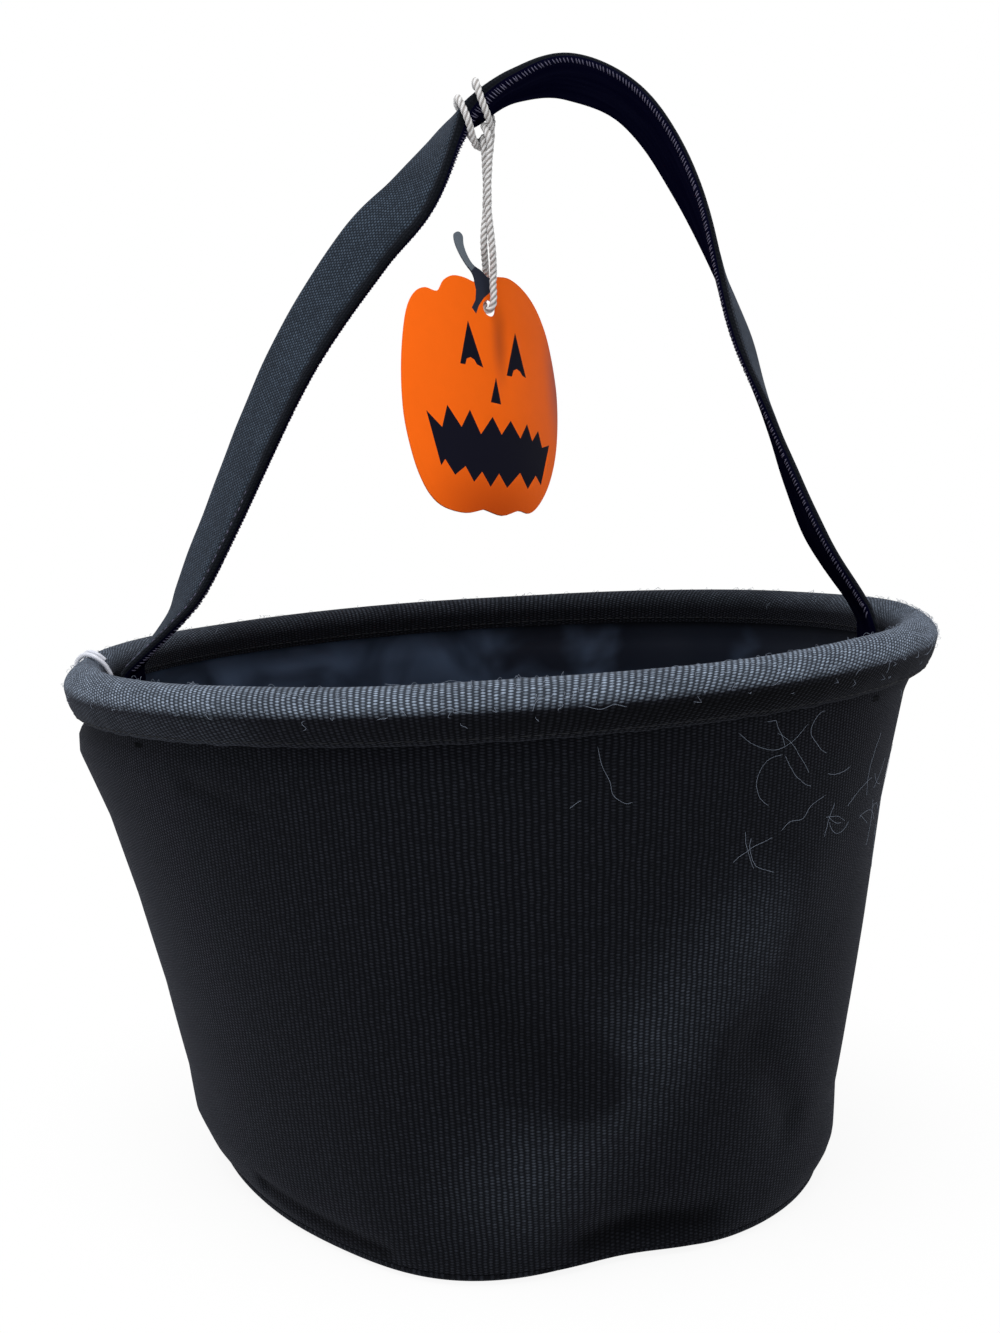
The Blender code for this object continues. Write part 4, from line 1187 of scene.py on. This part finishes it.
def coated_card(name, code, gloss, patches=()):
    """Offset print on coated card: an even colour under a thin aqueous coat, with the faint unevenness
    of the board's fibres. Patches are soft clouds of painted shade and painted reflection in another
    colour: middle, reach and colour."""
    made, add, shader = new_material(name, Roughness=gloss, Specular_IOR_Level=0.05)
    place = add("UVMap", uv_map="cloth")[0]
    mottle = add("TexNoise", {"Vector": place, "Scale": 0.2, "Detail": 4.0})[0]
    ink = linear(code)
    thin = (*(c * 0.93 for c in ink[:3]), 1.0)
    colour = add("Mix", {0: mottle, 6: ink, 7: thin}, data_type="RGBA")[2]
    for middle, reach, patch in patches:
        apart = add("VectorMath", {0: place, 1: (*middle, 0.0)}, operation="SUBTRACT")[0]
        apart = add("VectorMath", {0: apart, 1: (*reach, 1.0)}, operation="DIVIDE")[0]
        apart = add("VectorMath", {0: apart}, operation="LENGTH")["Value"]
        near = add("MapRange", {0: apart, 3: 1.0, 4: 0.0}, interpolation_type="SMOOTHSTEP")[0]
        colour = add("Mix", {0: near, 6: colour, 7: patch}, data_type="RGBA")[2]
    fibres = add("TexNoise", {"Vector": place, "Scale": 4.0, "Detail": 3.0})[0]
    bump = add("Bump", {"Height": fibres, "Strength": 0.06, "Distance": 0.0002})[0]
    feed(shader, {"Base Color": colour, "Normal": bump})
    return made


def pumpkin_tag():
    """The card cut along its edge and along its print, so that each colour has its own faces."""
    hole = [(HOLE_R * math.cos(a), HOLE_R * math.sin(a)) for a in np.arange(32) * np.pi / 16]
    prints = print_outlines()
    stem = stem_print()
    edge = card_outline()
    flat, lines = [], []
    for loop in (edge.tolist(), hole[::-1], *prints, stem):
        start = len(flat)
        flat += [Vector(p) for p in loop]
        lines += [(start + i, start + (i + 1) % len(loop)) for i in range(len(loop))]
    low, high = edge.min(axis=0), edge.max(axis=0)
    grid = np.meshgrid(*(np.arange(low[k], high[k], CARD_GRID) for k in (0, 1)))
    grid = np.stack(grid, axis=-1).reshape(-1, 2)
    keep = inside(grid, edge) & (np.linalg.norm(grid, axis=1) > HOLE_R + 1)
    flat += [Vector(p) for p in grid[keep]]
    points, _, faces, *_ = delaunay_2d_cdt(flat, lines, [], 0, 1e-5)
    points = np.array([tuple(p) for p in points])
    faces = np.array([tuple(f) for f in faces])
    centres = points[faces].mean(axis=1)
    keep = inside(centres, edge) & ~inside(centres, hole)
    faces, centres = faces[keep], centres[keep]
    used, faces = np.unique(faces, return_inverse=True)
    points, faces = points[used], faces.reshape(-1, 3)
    black = np.any([inside(centres, outline) for outline in prints], axis=0)
    grey = inside(centres, stem)
    # The stem's upper part takes the painted sheen.
    pale = grey & (centres[:, 1] < STEM_SHEEN_ENDS)
    front_looks = np.select([black, pale, grey], [1, 3, 2], 0)
    count = len(points)
    pairs = {(f[i], f[(i + 1) % 3]) for f in faces.tolist() for i in range(3)}
    border = sorted((a, b) for a, b in pairs if (b, a) not in pairs)
    all_faces = faces.tolist() + (faces[:, ::-1] + count).tolist()
    all_faces += [(b, a, a + count, b + count) for a, b in border]
    rim_middles = points[np.array(border)].mean(axis=1)
    rim_grey = inside(rim_middles, stem)
    rim_looks = np.select([rim_grey & (rim_middles[:, 1] < STEM_SHEEN_ENDS), rim_grey], [3, 2], 0)
    looks = np.concatenate([front_looks, np.zeros(len(faces)), rim_looks])
    solid = np.concatenate([card_point(*points.T, side * CARD / 2) for side in (1, -1)])
    mesh = bpy.data.meshes.new("tag")
    mesh.from_pydata((solid * MM).tolist(), [], all_faces)
    places = np.concatenate([points, points])[[v for f in all_faces for v in f]]
    mesh.uv_layers.new(name="cloth").uv.foreach_set("vector", places.astype(np.float32).ravel())
    mesh.polygons.foreach_set("material_index", looks.astype(np.int32))
    cards = [
        coated_card("orange_coated_card", CARD_ORANGE, 0.5, CARD_PAINTED_SHADES),
        coated_card("black_print", PRINT_BLACK, 0.7),
        coated_card("stem_print_dark", STEM_DARK, 0.45),
        coated_card("stem_print_painted_sheen", STEM_PAINTED_SHEEN, 0.45),
    ]
    return finish_mesh("tag", mesh, cards)


tag = pumpkin_tag()
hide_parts("hang_tag")
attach(tag, "tag")

# The fastener: a thin loop of milky nylon, pushed through the rim beside the strap's left end. It once
# held a price ticket, and its short end stands up inside.
FASTENER_R = 0.7
FASTENER_CLEAR = FASTENER_R + 0.45
FASTENER_BACK = 0.02
NYLON_WHITE = "d8dbe6"


def moulded_nylon():
    """Moulded nylon: milky, slightly clear at its thin edges, with a soft shine."""
    glow = {"Subsurface_Weight": 0.2, "Subsurface_Radius": (0.001, 0.001, 0.001)}
    made, add, shader = new_material("moulded_nylon", Roughness=0.35, IOR=1.53, **glow)
    place = add("TexCoord")["Object"]
    cloudy = add("TexNoise", {"Vector": place, "Scale": 400.0, "Detail": 2.0})[0]
    dim = (*(c * 0.8 for c in linear(NYLON_WHITE)[:3]), 1.0)
    feed(shader, {"Base Color": add("Mix", {0: cloudy, 6: dim, 7: NYLON_WHITE}, data_type="RGBA")[2]})
    return made


def fastener_line():
    """The loop's line round the roll: up outside, over, down inside, and back as the short end."""
    over = [(0.10, 5), (0.10, 40), (0.09, 75), (0.06, 100), (0.02, 125), (-0.03, 150), (-0.08, 178)]
    back = [(-0.105, 193), (-0.135, 178), (-0.105, 150), (-0.05, 125), (0.0, 100), (0.03, 75), (0.035, 45)]
    turn, deep = np.array(over + back).T
    return smooth(over_roll(-np.pi / 2 + turn - FASTENER_BACK, deep, FASTENER_CLEAR), 6)


fastener = thread_runs("tag_fastener_loop", [fastener_line()], FASTENER_R, moulded_nylon(), sides=12, tip=0.8)
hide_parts("tag_fastener")
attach(fastener, "bucket")

# The floor and the light of a plain studio: a pale floor that shows white to the camera and keeps a soft
# shadow near the bucket, a white room, and one broad soft lamp above.
FLOOR_HALF = 3.0
FLOOR_DROP = 0.0002
FLOOR_WHITE = "f4f4f4"
SHADOW_REACH = 0.19
SHADOW_SHARE = 0.1
ROOM_LIGHT = 0.72
LAMP_AT = (-0.25, -0.45, 1.5)
LAMP_AIM = (0.0, 0.0, 0.15)
LAMP_WIDE = 1.2
LAMP_WATTS = 16.0


def seen_plainly(add):
    """1 for what the camera sees, also in a reflection or through glass, and 0 for all other light."""
    rays = add("LightPath")
    seen = rays["Is Camera Ray"]
    for ray in ("Is Glossy Ray", "Is Transmission Ray"):
        seen = add("Math", {0: seen, 1: rays[ray]}, operation="MAXIMUM")[0]
    return seen


def backdrop_paper():
    """Matt paper: to the camera and in reflections it is plain white, but for the shadow near the base."""
    matt = {"Roughness": 1.0, "Specular_IOR_Level": 0.0, "Base_Color": FLOOR_WHITE}
    made, add, shader = new_material("backdrop_paper", **matt)
    place = add("TexCoord")["Object"]
    away = add("VectorMath", {0: place}, operation="LENGTH")["Value"]
    plain = add("MapRange", {0: away, 1: 0.08, 2: SHADOW_REACH, 3: 1 - SHADOW_SHARE, 4: 1.0})[0]
    share = add("Math", {0: seen_plainly(add), 1: plain}, operation="MULTIPLY")[0]
    white = add("Emission", {"Color": (1, 1, 1, 1), "Strength": 1.0})[0]
    both = add("MixShader", {0: share, 1: shader.outputs[0], 2: white})[0]
    feed(made.node_tree.nodes["Material Output"], {"Surface": both})
    return made


floor_mesh = bpy.data.meshes.new("floor")
corners = [(x * FLOOR_HALF, y * FLOOR_HALF, -FLOOR_DROP) for x, y in ((-1, -1), (1, -1), (1, 1), (-1, 1))]
floor_mesh.from_pydata(corners, [], [(0, 1, 2, 3)])
floor_mesh.materials.append(backdrop_paper())
floor = put_up("floor", floor_mesh)

room = bpy.data.worlds.new("room")
bpy.context.scene.world = room
room.use_nodes = True
add = partial(add_node, room.node_tree)
strength = add("MapRange", {0: seen_plainly(add), 3: ROOM_LIGHT, 4: 1.0})[0]
feed(room.node_tree.nodes["Background"], {"Color": (1, 1, 1, 1), "Strength": strength})

lamp_data = bpy.data.lights.new("soft_lamp", "AREA")
lamp_data.shape = "DISK"
lamp_data.size = LAMP_WIDE
lamp_data.energy = LAMP_WATTS
lamp = put_up("soft_lamp", lamp_data)
lamp.location = LAMP_AT
lamp.rotation_euler = (Vector(LAMP_AIM) - Vector(LAMP_AT)).to_track_quat("-Z", "Y").to_euler()
